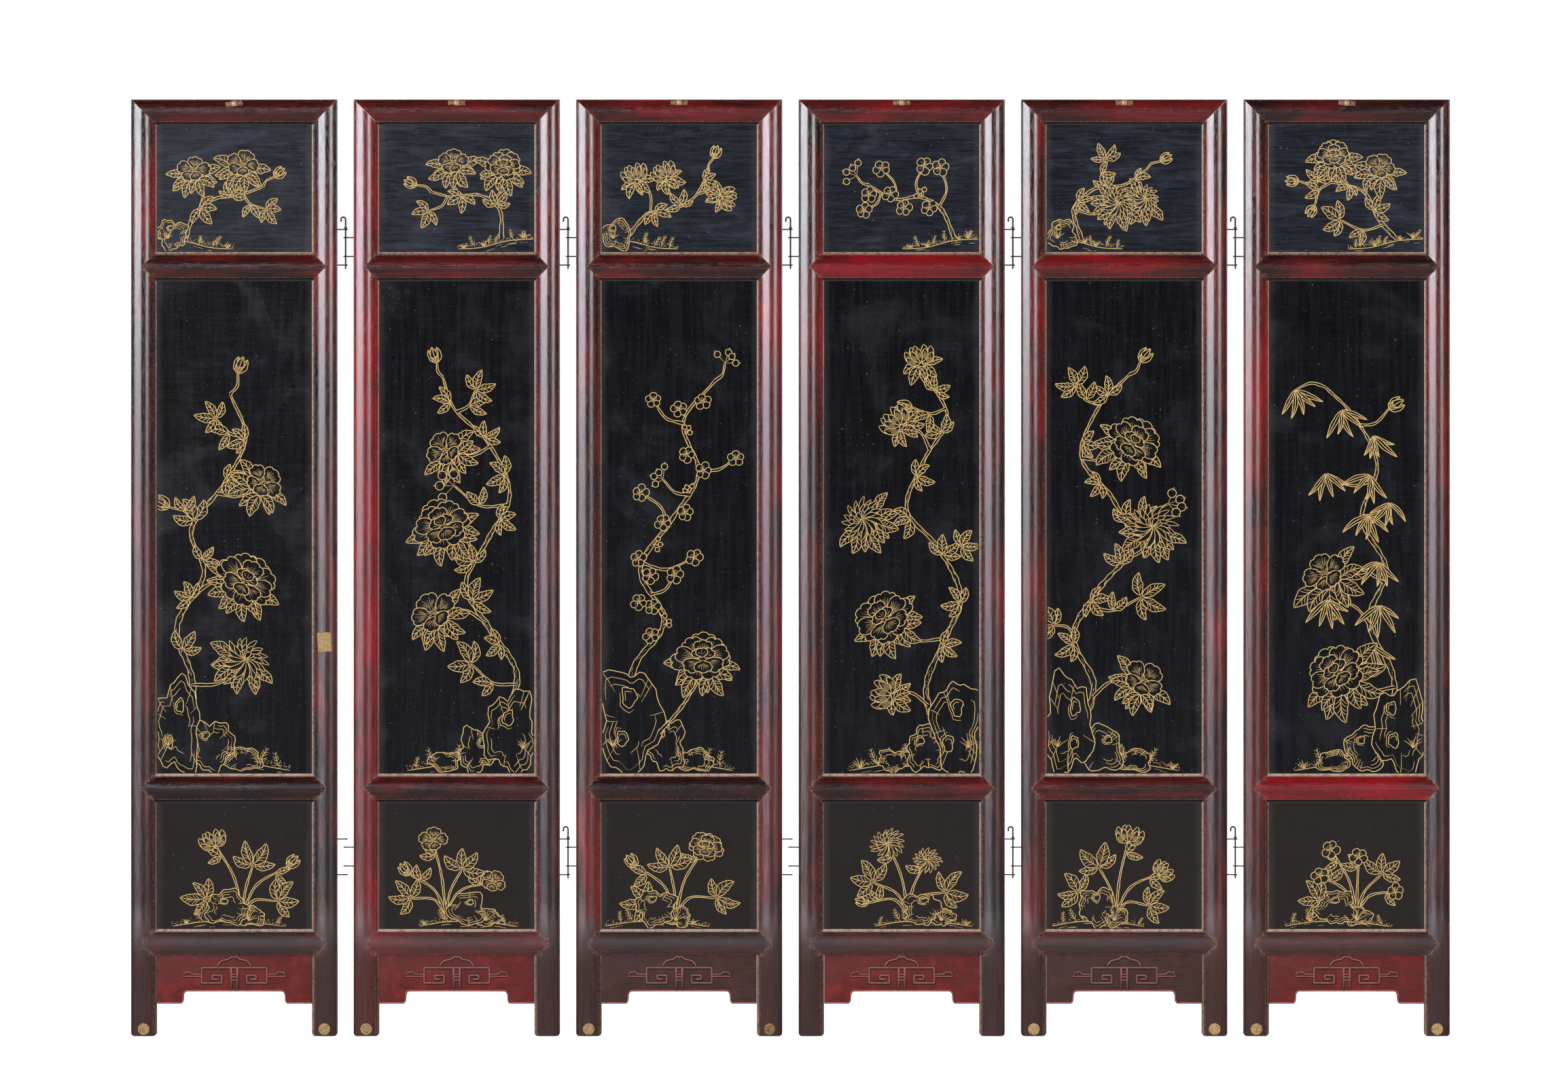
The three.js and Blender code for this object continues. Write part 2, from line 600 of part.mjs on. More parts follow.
/** The apron: shaped board with tongues, a bead along its edge and the key fret. */
function apron() {
  const top = RAIL_UNDERSIDE - FIT_GAP;
  const half = INNER_HALF - FIT_GAP;
  const edge = apronEdge();
  const face = new THREE.Shape([...edge, new THREE.Vector2(half, top), new THREE.Vector2(-half, top)]);
  let body = plate(face, APRON_DEPTH, APRON_DEPTH + APRON_THICKNESS);
  const tongue = GROOVE_REACH - EDGE_PLAY;
  const tongueTop = RAIL_UNDERSIDE + GROOVE_DEPTH - EDGE_PLAY;
  const tongueFoot = APRON_TONGUE_Z + FIT_GAP;
  const root = half - APRON_TONGUE_ROOT;
  body = body.add(block(-tongue, tongue, top - APRON_TONGUE_ROOT, tongueTop, BOARD_DEPTH, BOARD_BACK));
  body = body.add(block(root, tongue, tongueFoot, top, BOARD_DEPTH, BOARD_BACK));
  body = body.add(block(-tongue, -root, tongueFoot, top, BOARD_DEPTH, BOARD_BACK));
  const ribs = [...fretRibs(-1), ...fretRibs(1)];
  for (const drop of STEM_TIES) {
    ribs.push([THIN_RIB_WIDTH, below([[-STEM_SPREAD, drop], [STEM_SPREAD, drop]])]);
  }
  const carved = ribs.map(([width, points]) => ribbon(points, width));
  carved.push(ribbon(edge, APRON_BEAD_WIDTH, APRON_BEAD_WIDTH / 2));
  const shoulder = plate(face, APRON_DEPTH - RELIEF_HEIGHT, APRON_DEPTH + 1);
  for (const shape of carved) {
    const raised = plate(shape, APRON_DEPTH - RELIEF_HEIGHT, APRON_DEPTH + 1);
    body = body.add(raised.intersect(shoulder));
  }
  return body;
}

// ----------------------------------------------------------------------------- assembly

/** A named mesh. */
function piece(name, body, material) {
  const mesh = new THREE.Mesh(geometryOf(body), material);
  mesh.name = name;
  return mesh;
}

const screen = new THREE.Group();

for (let leaf = 1; leaf <= LEAF_COUNT; leaf += 1) {
  const name = `leaf_${leaf}`;
  const group = new THREE.Group();
  group.position.x = (leaf - (LEAF_COUNT + 1) / 2) * PITCH;
  group.add(
    piece(`${name}_left_stile`, stile(-1, leaf), lacquer),
    piece(`${name}_right_stile`, stile(1, leaf), lacquer),
    piece(`${name}_top_rail`, topRail(), lacquer),
    piece(`${name}_upper_rail`, middleRail(UPPER_RAIL_Z), lacquer),
    piece(`${name}_lower_rail`, middleRail(LOWER_RAIL_Z), lacquer),
    piece(`${name}_bottom_rail`, bottomRail(), lacquer),
    piece(`${name}_apron`, apron(), apronLacquer),
    piece(`${name}_board`, board(), blackLacquer),
  );
  screen.add(group);
}

/** Places a hinge pin on the axis between a leaf and the next one. */
function placePin(level, leaf) {
  const mesh = piece(`${level}_pin_${leaf}_${leaf + 1}`, hingePin(HINGE_HEIGHTS[level]), iron);
  mesh.position.set((leaf - LEAF_COUNT / 2) * PITCH, HINGE_Y, 0);
  screen.add(mesh);
}

for (let leaf = 1; leaf < LEAF_COUNT; leaf += 1) {
  placePin('upper', leaf);
  if (LOWER_PIN_FOLDS.includes(leaf)) placePin('lower', leaf);
}

export default screen;
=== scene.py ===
"""A six-leaf Chinese lacquer folding screen, opened out and seen square on from its decorated side.

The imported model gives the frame. The mouldings, mitres and pointed rails are made again here
with their true curves, with the same sizes as the solids that they stand for. The boards keep
their solids and get a finish. The gilt line drawing on all eighteen fields is this script's
own design of the usual flowers, branches and rocks.

Lengths are millimetres up to the point where a mesh is made, and Blender's are metres.
"""

import json
import math
import random

import bmesh
import bpy
import numpy as np
from mathutils import Matrix, Vector

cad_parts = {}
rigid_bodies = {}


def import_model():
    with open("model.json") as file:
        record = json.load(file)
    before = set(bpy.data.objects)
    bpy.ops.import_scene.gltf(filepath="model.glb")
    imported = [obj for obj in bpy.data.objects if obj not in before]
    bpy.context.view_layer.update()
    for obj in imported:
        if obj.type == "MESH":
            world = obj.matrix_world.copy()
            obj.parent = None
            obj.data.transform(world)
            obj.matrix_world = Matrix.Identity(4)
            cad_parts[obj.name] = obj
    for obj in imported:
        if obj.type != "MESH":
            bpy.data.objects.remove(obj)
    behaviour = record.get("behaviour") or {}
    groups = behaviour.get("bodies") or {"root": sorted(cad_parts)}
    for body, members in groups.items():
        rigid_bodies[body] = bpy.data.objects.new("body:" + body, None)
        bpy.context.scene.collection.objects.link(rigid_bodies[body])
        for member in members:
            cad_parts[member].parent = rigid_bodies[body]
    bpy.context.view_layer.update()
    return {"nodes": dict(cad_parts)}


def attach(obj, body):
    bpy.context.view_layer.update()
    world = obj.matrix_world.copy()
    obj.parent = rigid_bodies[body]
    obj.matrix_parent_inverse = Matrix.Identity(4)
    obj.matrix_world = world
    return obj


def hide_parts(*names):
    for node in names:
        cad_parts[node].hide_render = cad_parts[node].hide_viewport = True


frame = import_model()


# ---------------------------------------------------------------------- the screen's sizes

MM = 0.001
LEAVES = (1, 2, 3, 4, 5, 6)
LEAF_WIDTH = 405.0
LEAF_HEIGHT = 1840.0
PITCH = 437.0  # from one leaf to the next
HALF = LEAF_WIDTH / 2
CREST_Y = -12.5  # front of the cushion moulding
THICKNESS = 28.0
FACE_WIDTH = 44.0  # outer edge to inner arris
REVEAL = 6.0  # sloped edge between the arris and the board
STILE = FACE_WIDTH + REVEAL
OPENING = HALF - STILE  # middle of a leaf to the edge of a field
CREST_IN = 21.5  # outer edge to crest
CUSHION = 22.5  # crest to arris
ARRIS_DROP = 4.5
BOARD_DEPTH = 11.0
FIT = 0.3
CHAMFER = 1.5
UPPER_RAIL_Z = 1512.0
LOWER_RAIL_Z = 487.0
BOTTOM_RAIL_Z = 181.5
RAIL_HALF = CUSHION + REVEAL
TIP = HALF - CREST_IN  # middle of a leaf to the point of a let-in rail
RAIL_UNDERSIDE = BOTTOM_RAIL_Z - CUSHION
BOARD_FACE_Y = CREST_Y + BOARD_DEPTH
HINGE_Y = CREST_Y + THICKNESS / 2
FOOT_ROUND = 7.0
RING_SPACING = 14.0

# low and high edge of the three lacquered fields of a leaf
TOP_FIELD = (UPPER_RAIL_Z + RAIL_HALF, LEAF_HEIGHT - STILE)
MAIN_FIELD = (LOWER_RAIL_Z + RAIL_HALF, UPPER_RAIL_Z - RAIL_HALF)
LOW_FIELD = (BOTTOM_RAIL_Z + RAIL_HALF, LOWER_RAIL_Z - RAIL_HALF)


def leaf_x(leaf):
    """The middle of a leaf."""
    return (leaf - 3.5) * PITCH


# ------------------------------------------------------------------------------ node trees


class Nodes:
    """A node tree under work: its nodes are added and joined by short calls."""

    def __init__(self, tree):
        self.tree = tree

    def put(self, socket, value):
        """A value or another node's output goes into a socket."""
        if isinstance(value, bpy.types.NodeSocket):
            self.tree.links.new(value, socket)
        else:
            socket.default_value = value

    def node(self, kind, inputs=None, **settings):
        """A node's outputs. inputs go into its sockets by name or place, settings to the node."""
        made = self.tree.nodes.new(kind)
        for name, value in settings.items():
            setattr(made, name, value)
        for name, value in (inputs or {}).items():
            self.put(made.inputs[name], value)
        return made.outputs

    def math(self, operation, a, b=0.0, clamp=False):
        return self.node("ShaderNodeMath", {0: a, 1: b}, operation=operation, use_clamp=clamp)[0]

    def times(self, a, b):
        return self.math("MULTIPLY", a, b)

    def split(self, source):
        return self.node("ShaderNodeSeparateXYZ", {0: source})


def emptied(owner, output):
    """The shader tree of a world or material with nothing in it but its output's surface."""
    owner.use_nodes = True
    owner.node_tree.nodes.clear()
    return Nodes(owner.node_tree), owner.node_tree.nodes.new(output).inputs["Surface"]


# --------------------------------------------------------------------- camera and lights

def add_object(name, data):
    made = bpy.data.objects.new(name, data)
    bpy.context.collection.objects.link(made)
    return made


CAMERA_AWAY = 22.0
PIXEL = 1.334 * MM  # size of one pixel of the photograph at the leaves
PICTURE_WIDTH = 2308 * PIXEL
CAMERA_ASIDE = -9.5 * PIXEL
CAMERA_HEIGHT = 0.5 * LEAF_HEIGHT * MM + 38 * PIXEL
FLOOR_REACH = 120.0
FLOOR_GLOW = 0.75  # lifts the lit floor to white for the camera
FLOOR_MIRRORED = 0.45


def add_camera():
    """A long lens square on to the screen, a little above its middle."""
    data = bpy.data.cameras.new("camera")
    data.sensor_width = 36
    data.lens = data.sensor_width * CAMERA_AWAY / PICTURE_WIDTH
    data.clip_start = 0.1
    data.clip_end = 600
    camera = add_object("camera", data)
    camera.location = (CAMERA_ASIDE, CREST_Y * MM - CAMERA_AWAY, CAMERA_HEIGHT)
    camera.rotation_euler = (math.pi / 2, 0, 0)
    bpy.context.scene.camera = camera


def add_softbox(name, place, size, brightness, tint):
    """A rectangular lamp aimed at the screen. Brightness is that of its face, where 1 is white."""
    data = bpy.data.lights.new(name, "AREA")
    data.shape = "RECTANGLE"
    data.size, data.size_y = size
    data.energy = brightness * math.pi * size[0] * size[1]
    data.color = tint
    lamp = add_object(name, data)
    lamp.location = place
    aim = Vector((0, 0, 1.6))
    lamp.rotation_euler = (aim - Vector(place)).to_track_quat("-Z", "Y").to_euler()
    lamp.visible_camera = False


def add_lights():
    """A wide softbox on the left, a narrower one on the right, and one for the back.

    The front ones are big and far away, so that each leaf mirrors them alike. They stand clear
    of the middle, which the flat boards mirror, and begin a little above the screen's middle.
    """
    add_softbox("left_softbox", (-21.5, -57.0, 6.6), (27.0, 8.4), 21.0, (0.94, 0.93, 1.0))
    add_softbox("right_softbox", (16.4, -58.0, 6.6), (11.0, 8.4), 14.0, (1.0, 0.98, 0.97))
    add_softbox("back_light", (6.0, 14.0, 9.0), (7.0, 5.0), 4.0, (1.0, 1.0, 1.0))


def add_surroundings():
    """White behind the screen, a dim room in front of it that the lacquer mirrors."""
    world = bpy.data.worlds.new("studio")
    bpy.context.scene.world = world
    n, surface = emptied(world, "ShaderNodeOutputWorld")
    path = n.node("ShaderNodeLightPath")
    ahead = n.split(n.node("ShaderNodeTexCoord")["Generated"])["Y"]
    limits = {"From Min": -0.35, "From Max": 0.25, "To Min": 0.05, "To Max": 1.0}
    fall = n.node("ShaderNodeMapRange", {"Value": ahead, **limits})["Result"]
    room = n.node("ShaderNodeBackground", {"Color": (0.94, 0.96, 1.0, 1), "Strength": 0.46})[0]
    mirrored = n.node("ShaderNodeBackground", {"Color": (0.85, 0.9, 1.0, 1), "Strength": fall})[0]
    white = n.node("ShaderNodeBackground", {"Color": (1, 1, 1, 1)})[0]
    glossy = n.node("ShaderNodeMixShader", {0: path["Is Glossy Ray"], 1: room, 2: mirrored})[0]
    seen = n.math("MAXIMUM", path["Is Camera Ray"], path["Is Transmission Ray"])
    n.put(surface, n.node("ShaderNodeMixShader", {0: seen, 1: glossy, 2: white})[0])


def add_floor():
    """A wide white floor that keeps the shadow of the screen."""
    mesh = bpy.data.meshes.new("floor")
    near, far = -FLOOR_REACH, FLOOR_REACH
    outline = [(near, near, 0), (far, near, 0), (far, far, 0), (near, far, 0)]
    mesh.from_pydata(outline, [], [(0, 1, 2, 3)])
    floor = add_object("floor", mesh)
    finish = bpy.data.materials.new("floor_paper")
    n, surface = emptied(finish, "ShaderNodeOutputMaterial")
    path = n.node("ShaderNodeLightPath")
    seen = n.math("MAXIMUM", path["Is Camera Ray"], path["Is Transmission Ray"])
    paper = n.node("ShaderNodeBsdfDiffuse", {"Color": (0.9, 0.9, 0.9, 1)})[0]
    glow = n.node("ShaderNodeEmission", {"Strength": n.times(seen, FLOOR_GLOW)})[0]
    both = n.node("ShaderNodeAddShader", {0: paper, 1: glow})[0]
    mirrored = n.node("ShaderNodeEmission", {"Strength": FLOOR_MIRRORED})[0]
    shown = n.node("ShaderNodeMixShader", {0: path["Is Glossy Ray"], 1: both, 2: mirrored})
    n.put(surface, shown[0])
    mesh.materials.append(finish)


# ------------------------------------------------------------------------------ finishes


def straight(value):
    """One channel of a picture editor's colour, 0 to 255, as light."""
    part = value / 255
    return part / 12.92 if part <= 0.04045 else ((part + 0.055) / 1.055) ** 2.4


def colour(red, green, blue):
    return (straight(red), straight(green), straight(blue), 1.0)


class Finish(Nodes):
    """A material under work: a tone and a gloss that one layer after another changes."""

    def __init__(self, name):
        self.material = bpy.data.materials.new(name)
        self.material.use_nodes = True
        super().__init__(self.material.node_tree)
        self.shader = self.tree.nodes["Principled BSDF"]
        self.place = self.node("ShaderNodeTexCoord")["Object"]

    def plus(self, *parts):
        total = parts[0]
        for part in parts[1:]:
            total = self.math("ADD", total, part)
        return total

    def ramp(self, value, low, high, to_low=0.0, to_high=1.0):
        """value between low and high becomes to_low to to_high, smoothly and no further."""
        limits = {"From Min": low, "From Max": high, "To Min": to_low, "To Max": to_high}
        made = {"Value": value, **limits}
        return self.node("ShaderNodeMapRange", made, interpolation_type="SMOOTHSTEP")["Result"]

    def mix(self, amount, a, b):
        """Colour a turns into colour b."""
        made = self.tree.nodes.new("ShaderNodeMix")
        made.data_type = "RGBA"
        sockets = {socket.identifier: socket for socket in made.inputs}
        for name, value in (("Factor_Float", amount), ("A_Color", a), ("B_Color", b)):
            self.put(sockets[name], value)
        return next(socket for socket in made.outputs if socket.identifier == "Result_Color")

    def between(self, value, low, high, a, b):
        """Colour a where value is low, b where it is high."""
        return self.mix(self.ramp(value, low, high), colour(*a), colour(*b))

    def over(self, tone, amount, share, *above):
        """tone with a colour over it, as far as a share of the amount."""
        return self.mix(self.times(amount, share), tone, colour(*above))

    def stretched(self, *scale):
        return self.node("ShaderNodeMapping", {"Vector": self.place, "Scale": scale})[0]

    def noise(self, scale, detail, roughness=0.6, distortion=0.0, place=None):
        given = {"Vector": place or self.place, "Scale": scale, "Detail": detail}
        given.update({"Roughness": roughness, "Distortion": distortion})
        return self.node("ShaderNodeTexNoise", given)["Fac"]

    def cells(self, scale):
        """Round cells: the distance from their middles, and the channels of their colours."""
        made = self.node("ShaderNodeTexVoronoi", {"Vector": self.place, "Scale": scale})
        return made["Distance"], self.node("ShaderNodeSeparateColor", {0: made["Color"]})

    def specks(self, scale, size, share):
        """Round specks: their size against their spacing, and the share of places that has one."""
        distance, shade = self.cells(scale)
        near = self.ramp(distance, size * 0.6, size, 1.0, 0.0)
        return self.times(near, self.math("LESS_THAN", shade[0], share))

    def attribute(self, name):
        return self.node("ShaderNodeAttribute", attribute_name=name)["Fac"]

    def height(self):
        return self.split(self.place)["Z"]

    def from_middle(self):
        """Distance from the middle of whichever leaf this is."""
        given = {0: self.split(self.place)["X"], 1: PITCH * MM, 2: 0.0}
        wrapped = self.node("ShaderNodeMath", given, operation="WRAP")[0]
        return self.math("ABSOLUTE", self.math("SUBTRACT", wrapped, PITCH * MM / 2))

    def about(self, noise, reach):
        """Noise round nothing instead of round a half, times its reach."""
        return self.times(self.math("SUBTRACT", noise, 0.5), reach)

    def plain_back(self, tone, value, a=(24, 19, 18), b=(40, 29, 26)):
        """Brown-black on what faces the plain side of the screen, and where that is."""
        normal = self.node("ShaderNodeTexCoord")["Normal"]
        back = self.ramp(self.split(normal)["Y"], 0.3, 0.7)
        return self.mix(back, tone, self.between(value, 0.3, 0.7, a, b)), back

    def bump(self, height, distance, strength=0.5):
        given = {"Distance": distance, "Strength": strength, "Height": height}
        self.put(self.shader.inputs["Normal"], self.node("ShaderNodeBump", given)[0])

    def done(self, tone, gloss, **constants):
        self.put(self.shader.inputs["Base Color"], tone)
        self.put(self.shader.inputs["Roughness"], gloss)
        for name, value in constants.items():
            self.shader.inputs[name.replace("_", " ")].default_value = value
        return self.material


def frame_lacquer(name, along):
    """Red-brown lacquer over streaky wood, with painted light and painted shade on its reveals. along is
    the axis that the grain runs on.
    """
    f = Finish(name)
    grain = f.stretched(0.04, 1, 1) if along == "X" else f.stretched(1, 1, 0.04)
    loose = f.stretched(0.3, 1, 1) if along == "X" else f.stretched(1, 1, 0.3)
    clouds = f.noise(14, 4, 0.6, 0.4, loose)
    broad = f.noise(90, 4, 0.6, 0.5, grain)
    fine = f.noise(420, 6, 0.7, place=grain)
    hair = f.noise(1500, 3, place=grain)
    shade = f.plus(f.attribute("red"), f.about(clouds, 1.5), f.about(broad, 0.9))
    shade = f.math("ADD", shade, f.about(fine, 0.7), clamp=True)
    scale = f.tree.nodes.new("ShaderNodeValToRGB")
    f.put(scale.inputs[0], shade)
    stops = scale.color_ramp.elements
    stops[0].color = colour(22, 12, 12)
    stops[1].color = colour(158, 14, 26)
    for place, tone in ((0.25, (48, 17, 15)), (0.5, (86, 24, 20)), (0.75, (126, 21, 24))):
        stops.new(place).color = colour(*tone)
    pores = f.ramp(hair, 0.36, 0.44, 1.0, 0.0)
    tone = f.over(scale.outputs["Color"], pores, 0.6, 18, 8, 9)
    height = f.height()
    scuffs = f.noise(55, 5, 0.65, place=f.stretched(1, 1, 0.5))
    low = f.ramp(f.plus(height, f.times(scuffs, 0.05)), 0.14, 0.30, 1.0, 0.0)
    tone = f.mix(f.times(low, 0.8), tone, f.between(fine, 0.35, 0.65, (44, 23, 19), (78, 44, 35)))
    worn = f.times(f.attribute("wear_and_light"), f.ramp(f.noise(260, 4, 0.7), 0.42, 0.6))
    tone = f.over(tone, worn, 0.75, 186, 138, 116)
    mark = f.attribute("ledge_dust_light_shade")  # reveals with painted light and dust are positive, reveals with painted shade negative
    painted_shade = f.math("MULTIPLY", mark, -1.0, clamp=True)
    # painted shade: the reveals that face down go near black
    tone = f.mix(painted_shade, tone, colour(9, 6, 7))
    painted_light_and_dust = f.math("MULTIPLY", mark, 1.0, clamp=True)
    ledge_dust_light_shade = f.times(painted_light_and_dust, f.ramp(f.noise(120, 4), 0.3, 0.6, 0.45, 1.0))
    # painted light and dust: the reveals that face up or aside go pale cream
    tone = f.mix(ledge_dust_light_shade, tone, colour(206, 176, 152))
    tone = f.over(tone, f.specks(420, 0.16, 0.05), 0.5, 190, 165, 155)
    tone, back = f.plain_back(tone, fine)
    gloss = f.plus(
        f.ramp(fine, 0.3, 0.75, 0.1, 0.19),
        f.ramp(height, 0.9, 1.4, 0.03, 0.0),
        f.times(low, 0.55),
        f.times(f.plus(ledge_dust_light_shade, painted_shade), 0.3),
        f.times(back, 0.2),
    )
    f.bump(f.plus(fine, f.times(pores, -0.6)), 0.00005)
    return f.done(tone, gloss, IOR=1.54)


def board_lacquer():
    """Black lacquer: blue-black with brush marks above, lightened to blue-grey partly as painted sheen,
    brown-black and dull at the foot.
    """
    f = Finish("board_black")
    top = f.ramp(f.height(), 1.50, 1.52)
    low = f.ramp(f.height(), 0.48, 0.50, 1.0, 0.0)
    across = f.noise(300, 5, 0.7, 0.6, f.stretched(0.06, 1, 1))
    swirl_sheen = f.noise(26, 4, 0.6, 1.4, f.stretched(0.25, 1, 1))
    down = f.noise(120, 5, 0.65, place=f.stretched(1, 1, 0.05))
    clouds = f.noise(9, 4, 0.6, 0.6)
    grain = f.noise(1300, 2)
    main = f.between(down, 0.35, 0.7, (10, 10, 13), (24, 25, 30))
    main = f.over(main, f.ramp(clouds, 0.5, 0.75), 0.5, 38, 40, 47)
    # top fields: blue-grey brush marks and swirls, lighter than the rest partly as painted sheen
    upper = f.between(across, 0.35, 0.7, (17, 20, 27), (38, 43, 54))
    upper = f.over(upper, f.ramp(swirl_sheen, 0.5, 0.7), 0.5, 58, 64, 77)
    foot = f.between(grain, 0.35, 0.7, (20, 15, 13), (46, 37, 31))
    tone = f.mix(low, f.mix(top, main, upper), foot)
    stars = f.math("MAXIMUM", f.specks(170, 0.17, 0.3), f.specks(80, 0.15, 0.14))
    stars = f.times(stars, f.ramp(f.noise(16, 3), 0.35, 0.6))
    tone = f.over(tone, stars, 0.5, 104, 106, 110)
    edge = f.ramp(f.plus(f.from_middle(), f.about(clouds, 0.02)), 0.136, 0.152)
    tone = f.over(tone, edge, 0.32, 78, 72, 68)
    tone = f.plain_back(tone, down, (22, 18, 17), (38, 30, 27))[0]
    gloss = f.plus(
        f.ramp(across, 0.3, 0.7, 0.1, 0.14),
        f.times(top, 0.05),
        f.times(f.ramp(clouds, 0.45, 0.7), 0.05),
        f.times(low, 0.52),
        f.times(stars, 0.2),
    )
    f.bump(f.plus(across, f.times(grain, 0.3)), 0.00002, 0.4)
    return f.done(tone, gloss, Specular_IOR_Level=0.26)


def apron_lacquer(name, deep, middle, light):
    """Thin lacquer over the wood of an apron, rubbed bare on the carving, with painted light on the
    carving's upper sides and painted shade below and beside it.
    """
    f = Finish(name)
    fine = f.noise(380, 6, 0.7, place=f.stretched(0.05, 1, 1))
    tone = f.between(fine, 0.3, 0.65, deep, middle)
    tone = f.over(tone, f.ramp(f.noise(30, 4), 0.45, 0.7), 0.6, *light)
    # the rubbed crests of the carving, and painted light on its upper sides
    rub = f.times(f.attribute("wear_and_light"), f.ramp(f.noise(300, 4), 0.3, 0.6, 0.5, 1.0))
    tone = f.over(tone, rub, 0.75, 206, 136, 126)
    # painted shade under the carving and beside its ribs
    tone = f.over(tone, f.attribute("dirt_and_shade"), 0.85, 20, 8, 8)
    tone = f.over(tone, f.specks(420, 0.16, 0.06), 0.4, 190, 165, 150)
    tone = f.plain_back(tone, fine)[0]
    f.bump(fine, 0.00012)
    return f.done(tone, f.ramp(fine, 0.3, 0.7, 0.5, 0.62), Specular_IOR_Level=0.3)


def gilt_paint():
    """Gold lines drawn on the lacquer, thin here and thick there."""
    f = Finish("gilt_lines")
    rub = f.noise(420, 4)
    tone = f.between(rub, 0.35, 0.65, (240, 190, 108), (255, 232, 160))
    tone = f.over(tone, f.ramp(f.noise(24, 3), 0.4, 0.7), 0.4, 230, 178, 100)
    f.bump(rub, 0.0001)
    return f.done(tone, f.ramp(rub, 0.3, 0.7, 0.36, 0.56), Metallic=0.15)


def old_iron():
    """Dark wire with a bloom of rust."""
    f = Finish("old_iron")
    rust = f.noise(260, 5, 0.7)
    tone = f.between(rust, 0.42, 0.62, (52, 46, 44), (112, 78, 56))
    f.bump(f.noise(1500, 3), 0.0002, 0.6)
    return f.done(tone, f.ramp(rust, 0.35, 0.65, 0.38, 0.75), Metallic=0.7)


def old_brass():
    """Brass gone brown, paler on the raised loop and screw heads of the hanger."""
    f = Finish("old_brass")
    stain = f.noise(320, 5, 0.65)
    tone = f.between(stain, 0.35, 0.62, (82, 56, 42), (184, 138, 106))
    tone = f.over(tone, f.attribute("wear_and_light"), 0.6, 212, 172, 138)
    f.bump(stain, 0.00015)
    return f.done(tone, f.ramp(stain, 0.3, 0.7, 0.36, 0.56), Metallic=0.7)


def cork():
    """Pressed cork grains, darker on a disc that is worn and stained."""
    f = Finish("pressed_cork")
    distance, shade = f.cells(620)
    tone = f.mix(shade[0], colour(176, 136, 84), colour(226, 194, 138))
    tone = f.over(tone, f.math("LESS_THAN", shade[1], 0.12), 0.7, 104, 68, 40)
    stain = f.ramp(f.noise(150, 4), 0.35, 0.6)
    dirt_and_shade = f.times(f.attribute("dirt_and_shade"), f.plus(f.times(stain, 0.5), 0.5))
    tone = f.mix(dirt_and_shade, tone, colour(62, 44, 34))
    f.bump(distance, 0.0006, 0.6)
    return f.done(tone, 0.85)


# ------------------------------------------------------------------ geometry node trees

FLOAT = "NodeSocketFloat"


def worked_in(obj):
    """An object's mesh with its modifiers worked in. The object is used up."""
    bpy.context.view_layer.update()
    seen = obj.evaluated_get(bpy.context.evaluated_depsgraph_get())
    mesh = bpy.data.meshes.new_from_object(seen)
    bpy.data.objects.remove(obj)
    return mesh


class Tree(Nodes):
    """A geometry node tree with named inputs, and a material for its result."""

    def __init__(self, name, *inputs):
        super().__init__(bpy.data.node_groups.new(name, "GeometryNodeTree"))
        face = self.tree.interface
        face.new_socket("Geometry", in_out="INPUT", socket_type="NodeSocketGeometry")
        self.ids = {}
        for label, kind, value in inputs + (("Material", "NodeSocketMaterial", None),):
            socket = face.new_socket(label, in_out="INPUT", socket_type=kind)
            if value is not None:
                socket.default_value = value
            self.ids[label] = socket.identifier
        face.new_socket("Geometry", in_out="OUTPUT", socket_type="NodeSocketGeometry")
        self.given = self.node("NodeGroupInput")

    def xyz(self, **parts):
        return self.node("ShaderNodeCombineXYZ", parts)[0]

    def sweep(self, curve, profile, caps=True, scaled=False):
        """A section run along a curve, as wide at each point as its radius if scaled."""
        given = {"Curve": curve, "Profile Curve": profile, "Fill Caps": caps}
        if scaled:
            given["Scale"] = self.node("GeometryNodeInputRadius")[0]
        return self.node("GeometryNodeCurveToMesh", given)[0]

    def circle(self, radius, sides):
        given = {"Radius": radius, "Resolution": sides}
        return self.node("GeometryNodeCurvePrimitiveCircle", given)[0]

    def pressed(self, geometry, level):
        """geometry with the depth of each point changed by level."""
        place = self.split(self.node("GeometryNodeInputPosition")[0])
        spot = self.xyz(X=place["X"], Y=level(place["Y"]), Z=place["Z"])
        return self.node("GeometryNodeSetPosition", {"Geometry": geometry, "Position": spot})[0]

    def on_points(self, instance, axis):
        """One instance on each given point, turned about an axis by the point's own amount."""
        turn = self.node("GeometryNodeInputNamedAttribute", {"Name": "turn"}, data_type="FLOAT")
        given = {"Points": self.given["Geometry"], "Instance": instance}
        given["Rotation"] = self.xyz(**{axis: turn[0]})
        return self.node("GeometryNodeInstanceOnPoints", given)[0]

    def end(self, geometry, smooth=False):
        """Closes the tree: real geometry with its material on it."""
        if smooth:
            geometry = self.node("GeometryNodeSetShadeSmooth", {"Geometry": geometry})[0]
        real = self.node("GeometryNodeRealizeInstances", {"Geometry": geometry})[0]
        painted = {"Geometry": real, "Material": self.given["Material"]}
        out = self.tree.nodes.new("NodeGroupOutput")
        self.put(out.inputs[0], self.node("GeometryNodeSetMaterial", painted)[0])
        return self

    def apply(self, obj, **inputs):
        """The tree's result on an object, as a plain mesh. The object is used up."""
        modifier = obj.modifiers.new("shape", "NODES")
        modifier.node_group = self.tree
        for label, value in inputs.items():
            modifier[self.ids[label.replace("_", " ")]] = value
        return worked_in(obj)


def moulded_length_tree():
    """A section run straight up, with rings at an even spacing for what is worked along it."""
    tree = Tree("moulded_length", ("Length", FLOAT, 1.0), ("Ring spacing", FLOAT, 0.02))
    line = tree.node("GeometryNodeCurvePrimitiveLine", {"End": tree.xyz(Z=tree.given["Length"])})
    given = {"Curve": line[0], "Length": tree.given["Ring spacing"]}
    rings = tree.node("GeometryNodeResampleCurve", given, mode="LENGTH")
    return tree.end(tree.sweep(rings[0], tree.given["Geometry"]))


